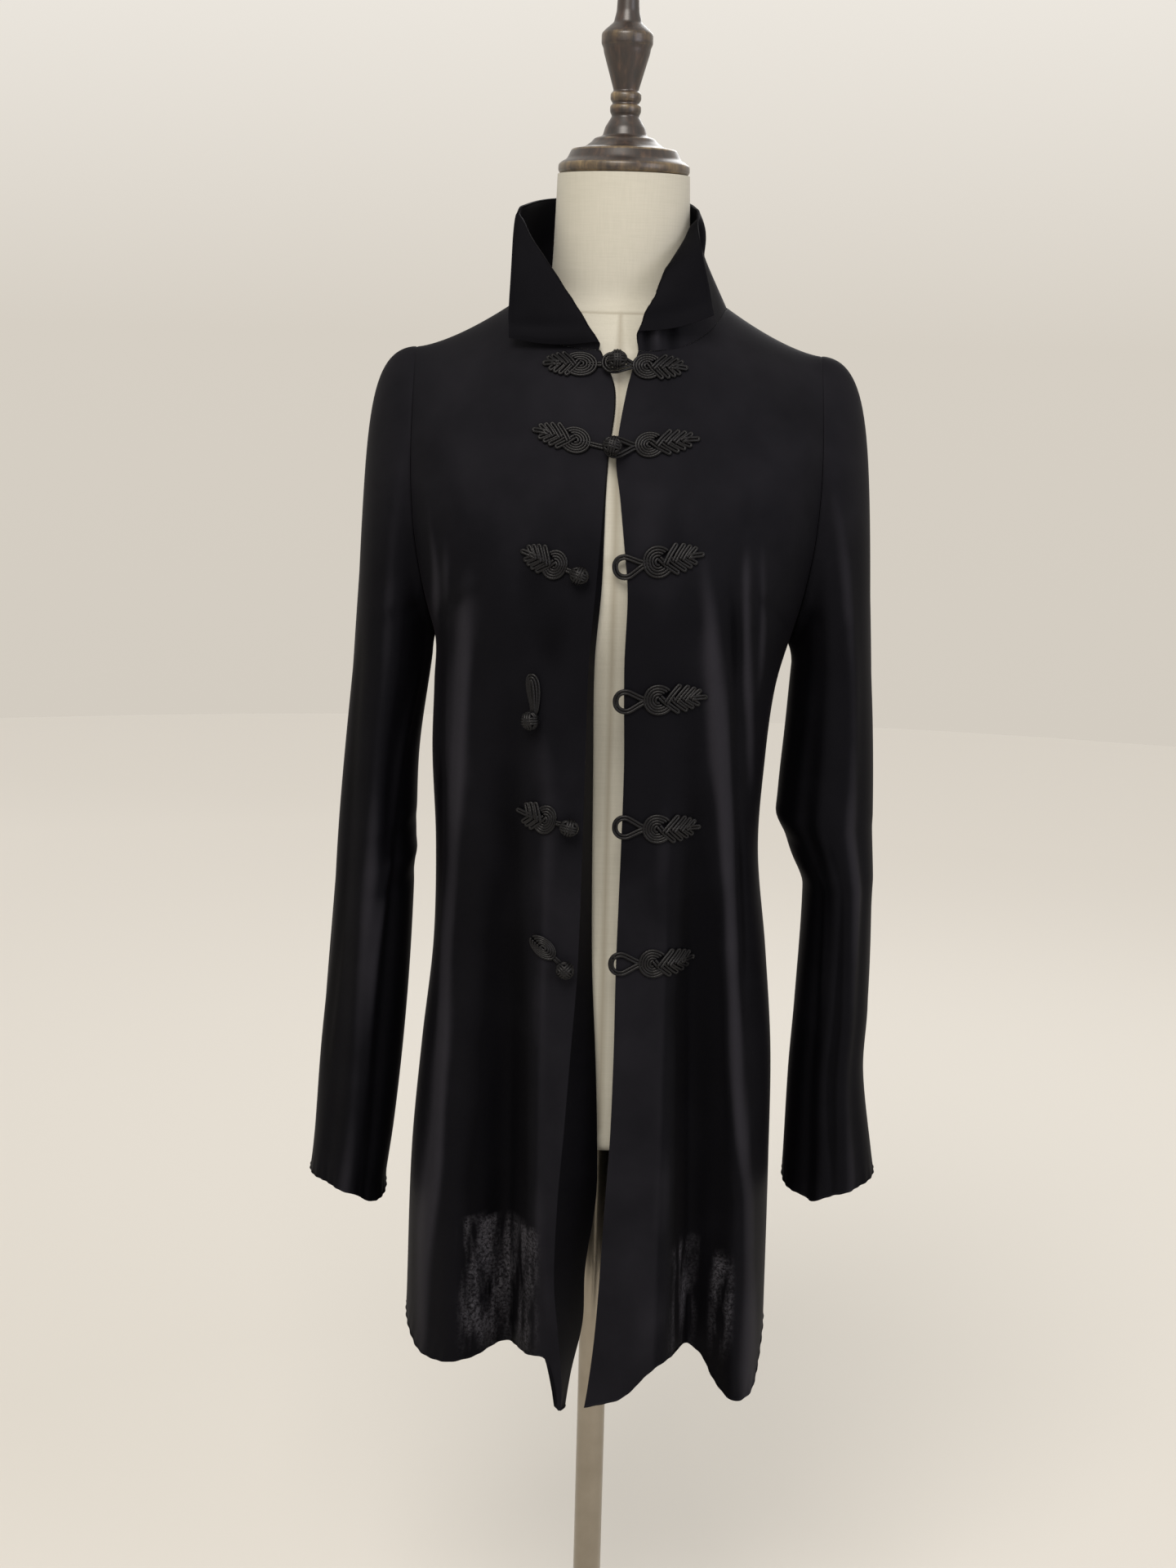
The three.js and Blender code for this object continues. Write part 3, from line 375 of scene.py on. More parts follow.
# the two front edges, and how far the wearer's right facing falls back from its fold
frontEdges = dict(
    z=[395, 430, 470, 520, 590, 650, 715, 800, 960, 1050, 1110, 1150, 1185, 1218, 1269, 1302],
    right=[-27, -27, -31, -36, -35, -31, -27, -22, -20, -19, -15, -12, -10, -8, -4, -17],
    left=[-9, -4, 0, 3, 6, 9, 10, 10, 12, 10, 11, 7, 3, -1, 6, 15],
    turnX=[2, 8, 21, 27, 34, 29, 22, 12, 7, 5, 5, 3, 1.6, 1.2, 1.2, 1.2],
    turnY=[4, 22, 34, 32, 25, 25, 22, 22, 30, 16, 4.5, 3.4, 3.2, 2.6, 2.4, 2.2],
)
hems = dict(
    right=dict(across=[0, 0.03, 0.055, 0.09, 0.21, 0.43, 0.555, 0.7, 0.8, 0.895, 0.95, 1],
               z=[404, 407, 430, 450, 450, 445, 439, 433, 431, 433, 440, 448]),
    left=dict(across=[0, 0.1, 0.18, 0.24, 0.3, 0.37, 0.43, 0.5, 0.58, 0.64, 0.7, 0.8, 0.88, 0.94, 1],
              z=[408, 412, 416, 424, 436, 446, 450, 449, 441, 432, 415, 400, 398, 406, 448]),
    back=dict(across=[0, 0.5, 1], z=[474, 470, 448]),
)
# hanging folds: face, trough at its top and at the hem, their heights, depth, and spread towards -X and +X
folds = [
    ("front", -82, -76, 1120, 430, 42, 24, 15), ("front", -112, -112, 900, 430, 5, 12, 12),
    ("front", 68, 84, 1090, 430, 47, 13, 26), ("front", 100, 108, 1000, 430, 6, 10, 10),
    ("back", -66, -88, 830, 460, 32, 24, 24), ("back", -4, -12, 800, 460, 36, 24, 24),
    ("back", 60, 66, 840, 460, 31, 23, 23),
]
# soft ridges (height above 0) and troughs (below 0) in the cloth, by where they run; upright ones go by z
uprightCreases = dict(
    front=[
        dict(z=[440, 528, 617, 705, 791, 875, 959, 1041, 1081, 1130],
             x=[-151, -150, -141, -137, -135, -130, -127, -123, -122, -119],
             height=[3, 5, 5.5, 5.5, 5.5, 5, 4.6, 4, 3, 0], width=8),
        dict(z=[1060, 1085, 1119, 1159, 1190], x=[-146, -147, -147, -152, -154],
             height=[0, 2.6, 3, 1.6, 0], width=4),
        dict(z=[940, 957, 1040, 1120, 1150], x=[-138, -138, -138, -138, -139],
             height=[0, 1.4, 1.6, 2, 0], width=3.4),
        dict(z=[700, 795, 1004, 1080, 1120], x=[-146, -144, -140, -139, -138],
             height=[0, -2.4, -2.6, -1.6, 0], width=3.6),
        dict(z=[470, 499, 585, 715, 842, 925, 1006, 1060], x=[-38, -40, -50, -54, -50, -50, -54, -56],
             height=[0, 1.4, 1.6, 1.6, 1.4, 1.2, 0.8, 0], width=8),
        dict(z=[440, 491, 580, 668, 754, 839, 923, 1005, 1086, 1126, 1160],
             x=[138, 136, 131, 119, 112, 105, 98, 88, 79, 74, 71],
             height=[4, 5, 5.5, 5.5, 5.5, 5.5, 5, 4.6, 3.4, 2.4, 0], width=8),
        dict(z=[930, 962, 1004, 1044, 1085, 1125, 1160], x=[121, 119, 116, 112, 109, 107, 106],
             height=[0, 2.6, 4, 4.2, 3.8, 3, 0], width=4.4),
        dict(z=[1010, 1043, 1084, 1125, 1170], x=[124, 124, 123, 121, 119],
             height=[0, 2.4, 2.6, 2, 0], width=3.6),
        dict(z=[640, 758, 840, 960, 1090, 1130], x=[124, 120, 116, 106, 98, 92],
             height=[0, -2, -3, -3, -2.6, 0], width=4.2),
        dict(z=[520, 587, 674, 802, 927, 1048, 1100], x=[54, 56, 52, 46, 44, 40, 38],
             height=[0, 1.2, 1.2, 1.2, 1.2, 0.8, 0], width=8),
    ],
    back=[
        dict(z=[450, 600, 760, 900, 1000], x=[-126, -122, -112, -100, -92],
             height=[3, 4, 3.6, 2, 0], width=11),
        dict(z=[450, 600, 760, 900, 1000], x=[118, 116, 108, 98, 92],
             height=[3, 4, 3.6, 2, 0], width=11),
        dict(z=[450, 620, 800, 960], x=[-44, -42, -34, -24], height=[2, 3, 2.4, 0], width=12),
        dict(z=[450, 620, 800, 940], x=[30, 32, 28, 22], height=[2, 3, 2.4, 0], width=12),
        dict(z=[1040, 1120, 1220], x=[-134, -140, -146], height=[0, -2.4, 0], width=7),
        dict(z=[1040, 1120, 1220], x=[134, 140, 146], height=[0, -2.4, 0], width=7),
    ],
)
levelCreases = dict(
    front=[
        dict(x=[-150, -138, -122, -100], z=[1074, 1088, 1102, 1112], height=[0, -1.8, -1, 0], width=7),
        dict(x=[100, 122, 138, 150], z=[1112, 1102, 1088, 1074], height=[0, -1, -1.8, 0], width=7),
        dict(x=[-104, -84, -64], z=[1222, 1231, 1238], height=[0, -0.6, 0], width=4),
        dict(x=[64, 84, 104], z=[1234, 1226, 1214], height=[0, -0.6, 0], width=4),
        dict(x=[-40, -26, -12], z=[1268, 1276, 1284], height=[0, -0.9, 0], width=3),
        dict(x=[8, 24, 40], z=[1244, 1250, 1262], height=[0, -0.7, 0], width=3),
    ],
    back=[
        dict(x=[-120, -40, 40, 120], z=[1186, 1172, 1170, 1188], height=[0, -1.4, -1.4, 0], width=14),
        dict(x=[-100, 0, 100], z=[890, 878, 892], height=[0, -1.2, 0], width=14),
        dict(x=[-130, -60, 20], z=[948, 930, 920], height=[0, 0.9, 0], width=14),
    ],
)
# long waves: height, radians for each mm across and up, and the angle they start at
unevenness = [
    (0.9, 0.031, 0.011, 0.4), (0.6, -0.052, 0.017, 1.9), (0.45, 0.083, 0.029, 3.1), (0.25, 0.13, -0.06, 5.2),
]
# how much painted light the cloth's colour holds, from 0 for painted shade in a hollow to 1 for a painted
# highlight on a crest, with painted light on the upper chest and the front borders; each pair says where a
# share begins and where it is whole
paintedLightShares = dict(
    plain=0.25, chest=0.15, border=0.16, ridge=0.55, hollow_shade=0.3,
    chestZ=(1050, 1240), borderZ=(1010, 760), borderEdge=4, ridges=(0.4, 5.2), troughs=(-0.8, -3),
    folds=(1.5, 12),
)


def shoulderLine(x):
    # height of the shoulder: a power curve from the shoulder point up to the neck point and past it
    inward = np.maximum(shirt["pointX"] - np.abs(x), 0) / (shirt["pointX"] - shirt["neckX"])
    return shirt["pointZ"] + (shirt["neckZ"] - shirt["pointZ"]) * inward ** shirt["shoulderPower"]


def rolledDepth(x, z, halfWidth, depth):
    # a superellipse across, rolled over to nothing where it meets the shoulder line
    across = np.minimum(np.abs(x) / halfWidth, 1)
    section = depth * (1 - across ** shirt["sectionPower"]) ** (1 / shirt["sectionPower"])
    drop = np.clip((shoulderLine(x) - z) / shirt["rollDrop"], 0, 1)
    return section * (1 - (1 - drop) ** 2) ** shirt["rollFullness"]


def foldDepth(face, x, z):
    # each fold is a trough of two half Gaussians that grows as a power of how far the cloth has fallen
    depth = np.zeros_like(x)
    for name, topX, hemX, topZ, hemZ, most, below, above in folds:
        if name == face:
            fallen = np.clip((topZ - z) / (topZ - hemZ), 0, 1.1)
            off = x - topX - (hemX - topX) * fallen
            spread = above + (below - above) * smooth(shirt["foldBlend"], -shirt["foldBlend"], off)
            depth += most * fallen ** shirt["foldGrowth"] * np.exp(-((off / spread) ** 2))
    return depth


def addCreases(height, rows, alongKey, along, acrossKey, across, fullTurn=None):
    # adds Gaussian ridges: each crease gives its line, its height and its width at places along it
    for row in rows:
        off = across - curveAt(row[alongKey], row[acrossKey], along)
        if fullTurn:
            off = (off + fullTurn / 2) % fullTurn - fullTurn / 2
        height = height + curveAt(row[alongKey], row["height"], along) * np.exp(-((off / row["width"]) ** 2))
    return height


def creaseHeight(face, x, z):
    # a few long sine waves, which fade out at the shoulder, and the creases on top of them
    waves = sum(most * np.sin(x * right + z * up + start) for most, right, up, start in unevenness)
    height = waves * smooth(*shirt["waveFade"], z)
    height = addCreases(height, uprightCreases[face], "z", z, "x", x)
    return addCreases(height, levelCreases[face], "x", x, "z", z)


def paintedLightShare(face, x, z):
    # painted light: the plain share, with painted light added on the chest, the front borders and the
    # creases, and painted shade taken off in the troughs and folds
    share, height = paintedLightShares, creaseHeight(face, x, z)
    hollow_shade = smooth(*share["troughs"], height) + smooth(*share["folds"], foldDepth(face, x, z))
    border = smooth(shirt["borderX"], shirt["borderX"] - share["borderEdge"], np.abs(x))
    border = border * smooth(*share["borderZ"], z) * (face == "front")
    total = share["plain"] + share["chest"] * smooth(*share["chestZ"], z) + share["border"] * border
    total = total + share["ridge"] * smooth(*share["ridges"], height)
    return np.clip(total - share["hollow_shade"] * hollow_shade * (1 - border), 0, 1)


def shirtPoint(face, x, z):
    # the outside of the shirt over (x, z): its rolled depth, less the folds, plus the creases
    halfWidth = np.where(x < 0, curveAt(shirt["z"], shirt["right"], z), curveAt(shirt["z"], shirt["left"], z))
    depth = rolledDepth(x, z, halfWidth, curveAt(shirt["z"], shirt[face], z))
    across = np.minimum(np.abs(x) / halfWidth, 1)
    moved = creaseHeight(face, x, z) * (1 - across ** shirt["creaseEnd"])
    moved = moved * smooth(0, shirt["creaseFade"], shoulderLine(x) - z)
    y = depth - foldDepth(face, x, z) * (1 - across ** shirt["foldEnd"]) + moved + shirt["seamGap"] / 2
    return np.stack([x, -y if face == "front" else y, z], -1)


def aboveFront(x, z, height):
    # a point over the fronts, moved out along their normal
    base = shirtPoint("front", x, z)
    normal = np.cross(shirtPoint("front", x + 2, z) - base, shirtPoint("front", x, z + 2) - base)
    normal /= np.linalg.norm(normal, axis=-1, keepdims=True)
    return base + normal * np.asarray(height)[..., None], normal


def outerEdge(side, z):
    # a panel's outer edge: its side seam below the armpit, its armhole above
    seam = curveAt(shirt["z"], shirt[side], z)
    return np.where(z < shirt["armpit"], seam, curveAt(shirt["armholeZ"], shirt["armholeX"], z))


def rowHeight(step, hemZ, topZ):
    # even steps from the hem to the armpit, then half a cosine wave from there to the top edge
    below = hemZ + (shirt["armpit"] - hemZ) * step / shirt["rowsBelow"]
    share = np.clip((step - shirt["rowsBelow"]) / shirt["rowsAbove"], 0, 1)
    above = shirt["armpit"] + (topZ - shirt["armpit"]) * (1 - np.cos(np.pi * share)) / 2
    return np.where(step <= shirt["rowsBelow"], below, above)


def neckCorner(edgeX):
    # the share across a panel, by its sine, at which the neck point lies
    return 2 / np.pi * np.arcsin((shirt["neckX"] - edgeX) / (shirt["pointX"] - edgeX))


def panelTop(neck, topX, onNeck):
    # a panel's upper edge: the neck curve, then the shoulder line
    return np.where(onNeck, curveAt(neck["x"], neck["z"], topX), shoulderLine(topX))


facingFold = dict(soft=1.5, panelWidth=200, facingWidth=35)


def frontPoints(side, across, step):
    # across 0 at the front edge and 1 at the side, by a sine; below 0 the facing turns back from its fold
    sign = -1 if side == "right" else 1
    spread = np.sin(np.maximum(across, 0) * np.pi / 2)
    edgeAtTop = abs(curveAt(frontEdges["z"], frontEdges[side], shirt["neckZ"]))
    topX = edgeAtTop + (shirt["pointX"] - edgeAtTop) * spread
    topZ = panelTop(shirt["frontNeck"], topX, across < neckCorner(edgeAtTop))
    z = rowHeight(step, curveAt(hems[side]["across"], hems[side]["z"], spread), topZ)
    edge = curveAt(frontEdges["z"], frontEdges[side], z)
    points = shirtPoint("front", edge + (outerEdge(side, z) * sign - edge) * spread, z)
    if side == "right":
        run = np.where(across < 0, -across * facingFold["facingWidth"], -across * facingFold["panelWidth"])
        turned = (run + np.sqrt(run**2 + facingFold["soft"] ** 2)) / 2 / facingFold["facingWidth"]
        points[..., 0] += turned * curveAt(frontEdges["z"], frontEdges["turnX"], z)
        points[..., 1] += turned * curveAt(frontEdges["z"], frontEdges["turnY"], z)
    return points


def backPoints(across, step):
    # across from -1 at the wearer's right side to 1 at the left, by a sine
    spread = np.sin(across * np.pi / 2)
    topX = np.abs(spread) * shirt["pointX"]
    topZ = panelTop(shirt["backNeck"], topX, np.abs(across) < neckCorner(0))
    z = rowHeight(step, curveAt(hems["back"]["across"], hems["back"]["z"], np.abs(spread)), topZ)
    edge = np.where(across < 0, outerEdge("right", z), outerEdge("left", z))
    return shirtPoint("back", spread * edge, z)


# panels

panels = dict(
    columns=104, rows=190, facingColumns=12, hemBead=0.55, hemRadius=1.0, seamDip=0.4, seamWidth=1.0,
    hemWave=0.45, hemWaveLength=13, secondWaveLength=17, secondWave=0.6, waveReach=9, cuffColumn=2.4,
    # painted shade: the inside of each wall and the turned-back facing keep only these shares of the painted
    # light
    stepLength=50, firstStep=0.32, insideShadeScale=0.3, facingShadeScale=0.2,
    foldColumns=[-0.04, -0.02, 0, 0.004, 0.008],  # close columns round the facing's fold
    hemRows=[0, 0.5, 1.0, 1.5, 2.0, 2.5, 3.2, 4.5, 7, 11],  # heights in mm of the close rows at a hem
)
hemRows = np.array(panels["hemRows"]) / panels["stepLength"]


def edgeDistance(points, axis, end):
    # length along the grid from one of its edges
    step = np.linalg.norm(np.diff(points, axis=axis), axis=-1)
    if end:
        step = np.flip(step, axis)
    run = np.cumsum(step, axis=axis)
    run = np.insert(run, 0, 0, axis=axis)
    return np.flip(run, axis) if end else run


def sewnEdges(points, flip, seams, hem, closed=False):
    # seams sink a little into the cloth, and a rolled hem is a bead that wavers in and out
    outward = gridNormals(points, closed) * (-1 if flip else 1)
    move = np.zeros(points.shape[:2])
    for axis, end in seams:
        move -= panels["seamDip"] * np.exp(-((edgeDistance(points, axis, end) / panels["seamWidth"]) ** 2))
    wall = np.full(points.shape[:2], shirt["wall"])
    if hem is not None:
        run = edgeDistance(points, 0, hem)
        bead = np.sqrt(np.maximum(1 - ((run - panels["hemRadius"]) / panels["hemRadius"]) ** 2, 0))
        move += panels["hemBead"] * bead
        wall += 2 * panels["hemBead"] * bead
        if closed:
            along = np.cumsum(np.full(points.shape[:2], panels["cuffColumn"]), 1)
        else:
            along = edgeDistance(points, 1, 0)
        wave = np.sin(along / panels["hemWaveLength"] * 2 * np.pi)
        wave = wave + panels["secondWave"] * np.sin(along / panels["secondWaveLength"] + 1)
        move += panels["hemWave"] * wave * np.exp(-run / panels["waveReach"])
    return points + outward * move[..., None], wall


def clothPiece(name, points, wall, flip, painted_light, closed=False, painted_backlight=None, sharp=50):
    # the grid as a wall of crepe, with painted shade on its inside; its area is the sum of its quads, each by
    # a cross product
    made, faces = shell(points, wall, closed, flip)
    thin = np.zeros(points.shape[:2]) if painted_backlight is None else painted_backlight
    inside = painted_light.ravel() * panels["insideShadeScale"]
    values = dict(painted_backlight=np.tile(thin.ravel(), 2), painted_light=np.concatenate([painted_light.ravel(), inside]))
    piece = makeMesh(name, made, faces, black, values=values, sharp=sharp)
    area = np.linalg.norm(np.cross(np.diff(points[:-1], axis=1), np.diff(points[:, :-1], axis=0)), axis=-1)
    print(name, "area", round(float(area.sum()) / 1e6, 4), "m2")
    return piece


# painted light where a single layer lets light through: the heights and sides between which each patch fades
backlightPatches = dict(most=0.9, fromZ=(430, 470), patches=[
    dict(top=(568, 563), left=(-122, -110), right=(-45, -56)),
    dict(top=(552, 542), left=(62, 70), right=(92, 82)),
    dict(top=(540, 520), left=(98, 106), right=(124, 114)),
])


def paintedBacklightShare(points):
    # painted light: the front hangs single below the hem of the back, so light coming through it is painted
    # there, less in its folds
    x, z = points[..., 0], points[..., 2]
    patches = np.maximum.reduce([
        smooth(*row["top"], z) * smooth(*row["left"], x) * smooth(*row["right"], x)
        for row in backlightPatches["patches"]
    ])
    return backlightPatches["most"] * smooth(*backlightPatches["fromZ"], z) * patches


panelRows = np.linspace(panels["firstStep"], shirt["rowsBelow"] + shirt["rowsAbove"], panels["rows"])
panelSteps = np.concatenate([hemRows, panelRows])


def addFront(side):
    # a front panel; the wearer's right one also has its facing, with close columns round the fold
    across = np.linspace(0, 1, panels["columns"])
    if side == "right":
        facing = np.linspace(-1, 0, panels["facingColumns"])[:-1]
        across = np.unique(np.concatenate([facing, panels["foldColumns"], across[1:]]))
    u, v = np.meshgrid(across, panelSteps)
    points = frontPoints(side, u, v)
    flip = side == "right"
    # painted shade: the facing keeps only a share of the painted light
    painted_light = paintedLightShare("front", points[..., 0], points[..., 2]) * np.where(u < 0, panels["facingShadeScale"], 1)
    points, wall = sewnEdges(points, flip, [(1, 1), (0, 1)], 0)
    return clothPiece("front_" + side + "_cloth", points, wall, flip, painted_light, painted_backlight=paintedBacklightShare(points))


def addBack():
    # one panel from side seam to side seam
    u, v = np.meshgrid(np.linspace(-1, 1, 2 * panels["columns"]), panelSteps)
    points = backPoints(u, v)
    painted_light = paintedLightShare("back", points[..., 0], points[..., 2])
    points, wall = sewnEdges(points, True, [(1, 0), (1, 1), (0, 1)], 0)
    return clothPiece("back_cloth", points, wall, True, painted_light)


fronts = {side: addFront(side) for side in ("right", "left")}
back = addBack()
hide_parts("front_right")
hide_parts("front_left")
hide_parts("back")
print("panels made")

# sleeves

sleeves = dict(
    turns=150, capRows=34, armRows=120, capZ=1040, outward=44, least=5, power=2.5, lean=0.07, reach=0.65,
    tiltOver=0.06, tiltUnder=1.35, foldRun=150, capSpacing=1.4, armLength=466, armEnd=1.976, elbowSlant=0.12,
    rippleHeight=0.7, rippleLength=46, rippleTurn=38,
    # shares of painted light as for the shirt's panels, with painted light on the upper arm and ridges and
    # painted shade in the troughs; inner is painted shade where the sleeve faces the body
    painted_light=dict(plain=0.2, upper=0.2, ridge=0.7, hollow_shade=0.3, inner=0.5, upperZ=(1050, 1240), ridges=(0.8, 4.6),
               troughs=(-0.6, -2.4), innerFrom=(96, 124), innerTo=(236, 210), innerDown=(0.3, 0.9)),
    right=dict(z=[574, 620, 700, 800, 880, 960, 1040], outer=[256, 251, 246, 238, 233, 227, 221],
               inner=[188, 182, 175, 168, 165, 164, 154], depth=[46, 47, 48, 50, 51, 53, 54],
               middle=[-11, -11, -10, -8, -5, -2, 0],
               cuffTurn=[0, 0.18, 0.28, 0.36, 0.44, 0.5, 0.62, 0.75, 1],
               cuff=[580, 577, 570, 559, 557, 560, 568, 575, 580]),
    left=dict(z=[590, 680, 740, 845, 857, 900, 912, 990, 1040],
              outer=[245, 232, 234, 233, 233, 230, 230, 227, 224],
              inner=[164, 167, 170, 172, 169, 150, 147, 153, 156],
              depth=[46, 47, 48, 50, 50, 52, 52, 53, 54], middle=[-11, -11, -10, -7, -7, -4, -4, -1, 0],
              cuffTurn=[0, 0.1, 0.2, 0.27, 0.32, 0.37, 0.45, 0.55, 0.75, 1],
              cuff=[590, 586, 581, 577, 571, 575, 577, 584, 592, 590]),
    # angle from the outer edge round the front, depth and spread
    folds=[(58, 3, 16), (120, 5, 14), (250, 6, 16)],
)
# lengthwise creases by their angle at each height
sleeveCreases = dict(
    right=[
        dict(z=[560, 690, 778, 864, 949, 1075, 1197, 1230], turn=[92, 90, 88, 90, 90, 86, 80, 78],
             height=[2.2, 2.6, 2.6, 2.6, 2.4, 2, 1, 0], width=13),
        dict(z=[560, 592, 775, 873, 1013, 1080], turn=[116, 116, 104, 116, 139, 146],
             height=[1.6, 1.6, 2, 2.2, 1.6, 0], width=8),
        dict(z=[620, 720, 860, 1000, 1080], turn=[40, 36, 44, 40, 38],
             height=[0, -2.4, -2, -1.8, 0], width=14),
        dict(z=[580, 800, 1000, 1100], turn=[280, 286, 276, 270], height=[3, 3.4, 3, 0], width=14),
    ],
    left=[
        dict(z=[590, 700, 850, 943, 1124, 1205, 1240], turn=[64, 64, 67, 64, 75, 82, 84],
             height=[2, 2.4, 2.6, 2.8, 2.2, 1, 0], width=12),
        dict(z=[590, 700, 851, 909, 1040, 1110], turn=[108, 112, 118, 130, 128, 122],
             height=[1.6, 1.8, 2, 1.8, 1.4, 0], width=10),
        dict(z=[600, 720, 840, 940], turn=[86, 88, 90, 96], height=[-2, -2.6, -2.2, 0], width=9),
        dict(z=[600, 800, 1000, 1100], turn=[282, 276, 284, 276], height=[3, 3.4, 3, 0], width=14),
    ],
)
# short creases across the arm: height, where round it, how far round, depth and width
elbowCreases = dict(
    right=[
        (892, 150, 40, -1.6, 7), (868, 162, 44, 1.8, 7), (846, 150, 40, -1.4, 7), (1084, 120, 34, -1.6, 7),
    ],
    left=[
        (908, 150, 46, 1, 8), (888, 156, 48, -1.4, 8), (868, 150, 46, 1, 9), (1082, 120, 34, -1.2, 7),
    ],
)


def sleeveRing(side, angle, z):
    # an ellipse between the sleeve's two edges, pressed in at its folds and raised along its creases
    arm = sleeves[side]
    keys = ("outer", "inner", "depth", "middle")
    outer, inner, depth, middle = (curveAt(arm["z"], arm[key], z) for key in keys)
    degrees = np.degrees(angle)
    fallen = np.clip((sleeves["capZ"] - z) / sleeves["foldRun"], 0, 1)
    move = np.zeros(np.broadcast(angle, z).shape)
    for place, deep, spread in sleeves["folds"]:
        move = move - fallen * deep * np.exp(-((((degrees - place + 180) % 360 - 180) / spread) ** 2))
    scale = 1 + move / depth
    x = (outer + inner) / 2 + (outer - inner) / 2 * scale * np.cos(angle)
    return np.stack(np.broadcast_arrays(x, middle - depth * scale * np.sin(angle), z), -1)


def sleevePoints(side, turn, down):
    # down 0 to 1 is a cubic Bezier from the armhole to the top ring, 1 to 2 goes from ring to ring
    sign = -1 if side == "right" else 1
    wrapped = turn % 1
    raised = np.abs(1 - 2 * wrapped)
    seamZ = shirt["armpit"] + (shirt["pointZ"] - shirt["armpit"]) * (1 - np.cos(np.pi * raised)) / 2
    edge = outerEdge(side, seamZ) * sign
    before, behind = shirtPoint("front", edge, seamZ), shirtPoint("back", edge, seamZ)
    seam = np.where((wrapped <= 0.5)[..., None], before, behind)
    seam[..., 0] += sign * shirt["seamGap"]
    angle = wrapped * 2 * np.pi
    end = sleeveRing(side, angle, np.full_like(angle, sleeves["capZ"])) * [sign, 1, 1]
    fall = (seam[..., 2] - sleeves["capZ"]) * sleeves["reach"]
    out = sleeves["least"] + sleeves["outward"] * ((1 + np.cos(angle)) / 2) ** sleeves["power"]
    tilt = sleeves["tiltOver"] + (sleeves["tiltUnder"] - sleeves["tiltOver"]) * (1 - raised)
    zero = np.zeros_like(fall)
    second = seam + np.stack([sign * out * np.cos(tilt), zero, -out * np.sin(tilt)], -1)
    third = end + np.stack([-sign * sleeves["lean"] * fall, zero, fall], -1)
    t = np.clip(down, 0, 1)[..., None]
    cap = (1 - t) ** 3 * seam + 3 * (1 - t) ** 2 * t * second + 3 * (1 - t) * t**2 * third + t**3 * end
    cuff = curveAt(sleeves[side]["cuffTurn"], sleeves[side]["cuff"], wrapped)
    level = sleeves["capZ"] + (cuff - sleeves["capZ"]) * np.clip(down - 1, 0, 1)
    return np.where((down <= 1)[..., None], cap, sleeveRing(side, angle, level) * [sign, 1, 1])


def sleeveCreaseHeight(side, turn, z):
    # the lengthwise ridges, short slanting ones at the elbow as Gaussians both ways, and a slow ripple
    degrees = turn * 360
    height = addCreases(np.zeros_like(z), sleeveCreases[side], "z", z, "turn", degrees, 360)
    for level, place, span, deep, width in elbowCreases[side]:
        off = (degrees - place + 180) % 360 - 180
        line = level + sleeves["elbowSlant"] * off
        height += deep * np.exp(-((off / span) ** 2) - ((z - line) / width) ** 2)
    ripple = np.sin(z / sleeves["rippleLength"] + degrees / sleeves["rippleTurn"])
    return height + sleeves["rippleHeight"] * ripple * smooth(1180, 1040, z)


def addSleeve(side):
    # rings from the armhole down to the cuff, closer at the armhole and at the hem
    downs = np.concatenate([
        np.linspace(0, 1, sleeves["capRows"]) ** sleeves["capSpacing"],
        np.linspace(1, sleeves["armEnd"], sleeves["armRows"])[1:],
        2 - hemRows[::-1] * panels["stepLength"] / sleeves["armLength"],
    ])
    u, v = np.meshgrid(np.arange(sleeves["turns"]) / sleeves["turns"], downs)
    points = sleevePoints(side, u, v)
    flip = side == "right"
    outward = gridNormals(points, closed=True) * (-1 if flip else 1)
    height = sleeveCreaseHeight(side, u, points[..., 2]) * smooth(0, 0.3, v)
    degrees = u * 360
    # painted light: lighter on the upper arm and the ridges, with painted shade in the troughs and on the
    # side facing the body
    share = sleeves["painted_light"]
    inner = smooth(*share["innerFrom"], degrees) * smooth(*share["innerTo"], degrees)
    inner = inner * smooth(*share["innerDown"], v)
    plain = share["plain"] + share["upper"] * smooth(*share["upperZ"], points[..., 2])
    ridge = share["ridge"] * smooth(*share["ridges"], height)
    hollow_shade = share["hollow_shade"] * smooth(*share["troughs"], height)
    painted_light = np.clip(plain + ridge - hollow_shade - share["inner"] * inner, 0, 1)
    points, wall = sewnEdges(points + outward * height[..., None], flip, [(0, 0)], 1, closed=True)
    return clothPiece("sleeve_" + side + "_cloth", points, wall, flip, painted_light, closed=True)


arms = {side: addSleeve(side) for side in ("right", "left")}
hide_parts("sleeve_right")
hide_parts("sleeve_left")
print("sleeves made")

# collar

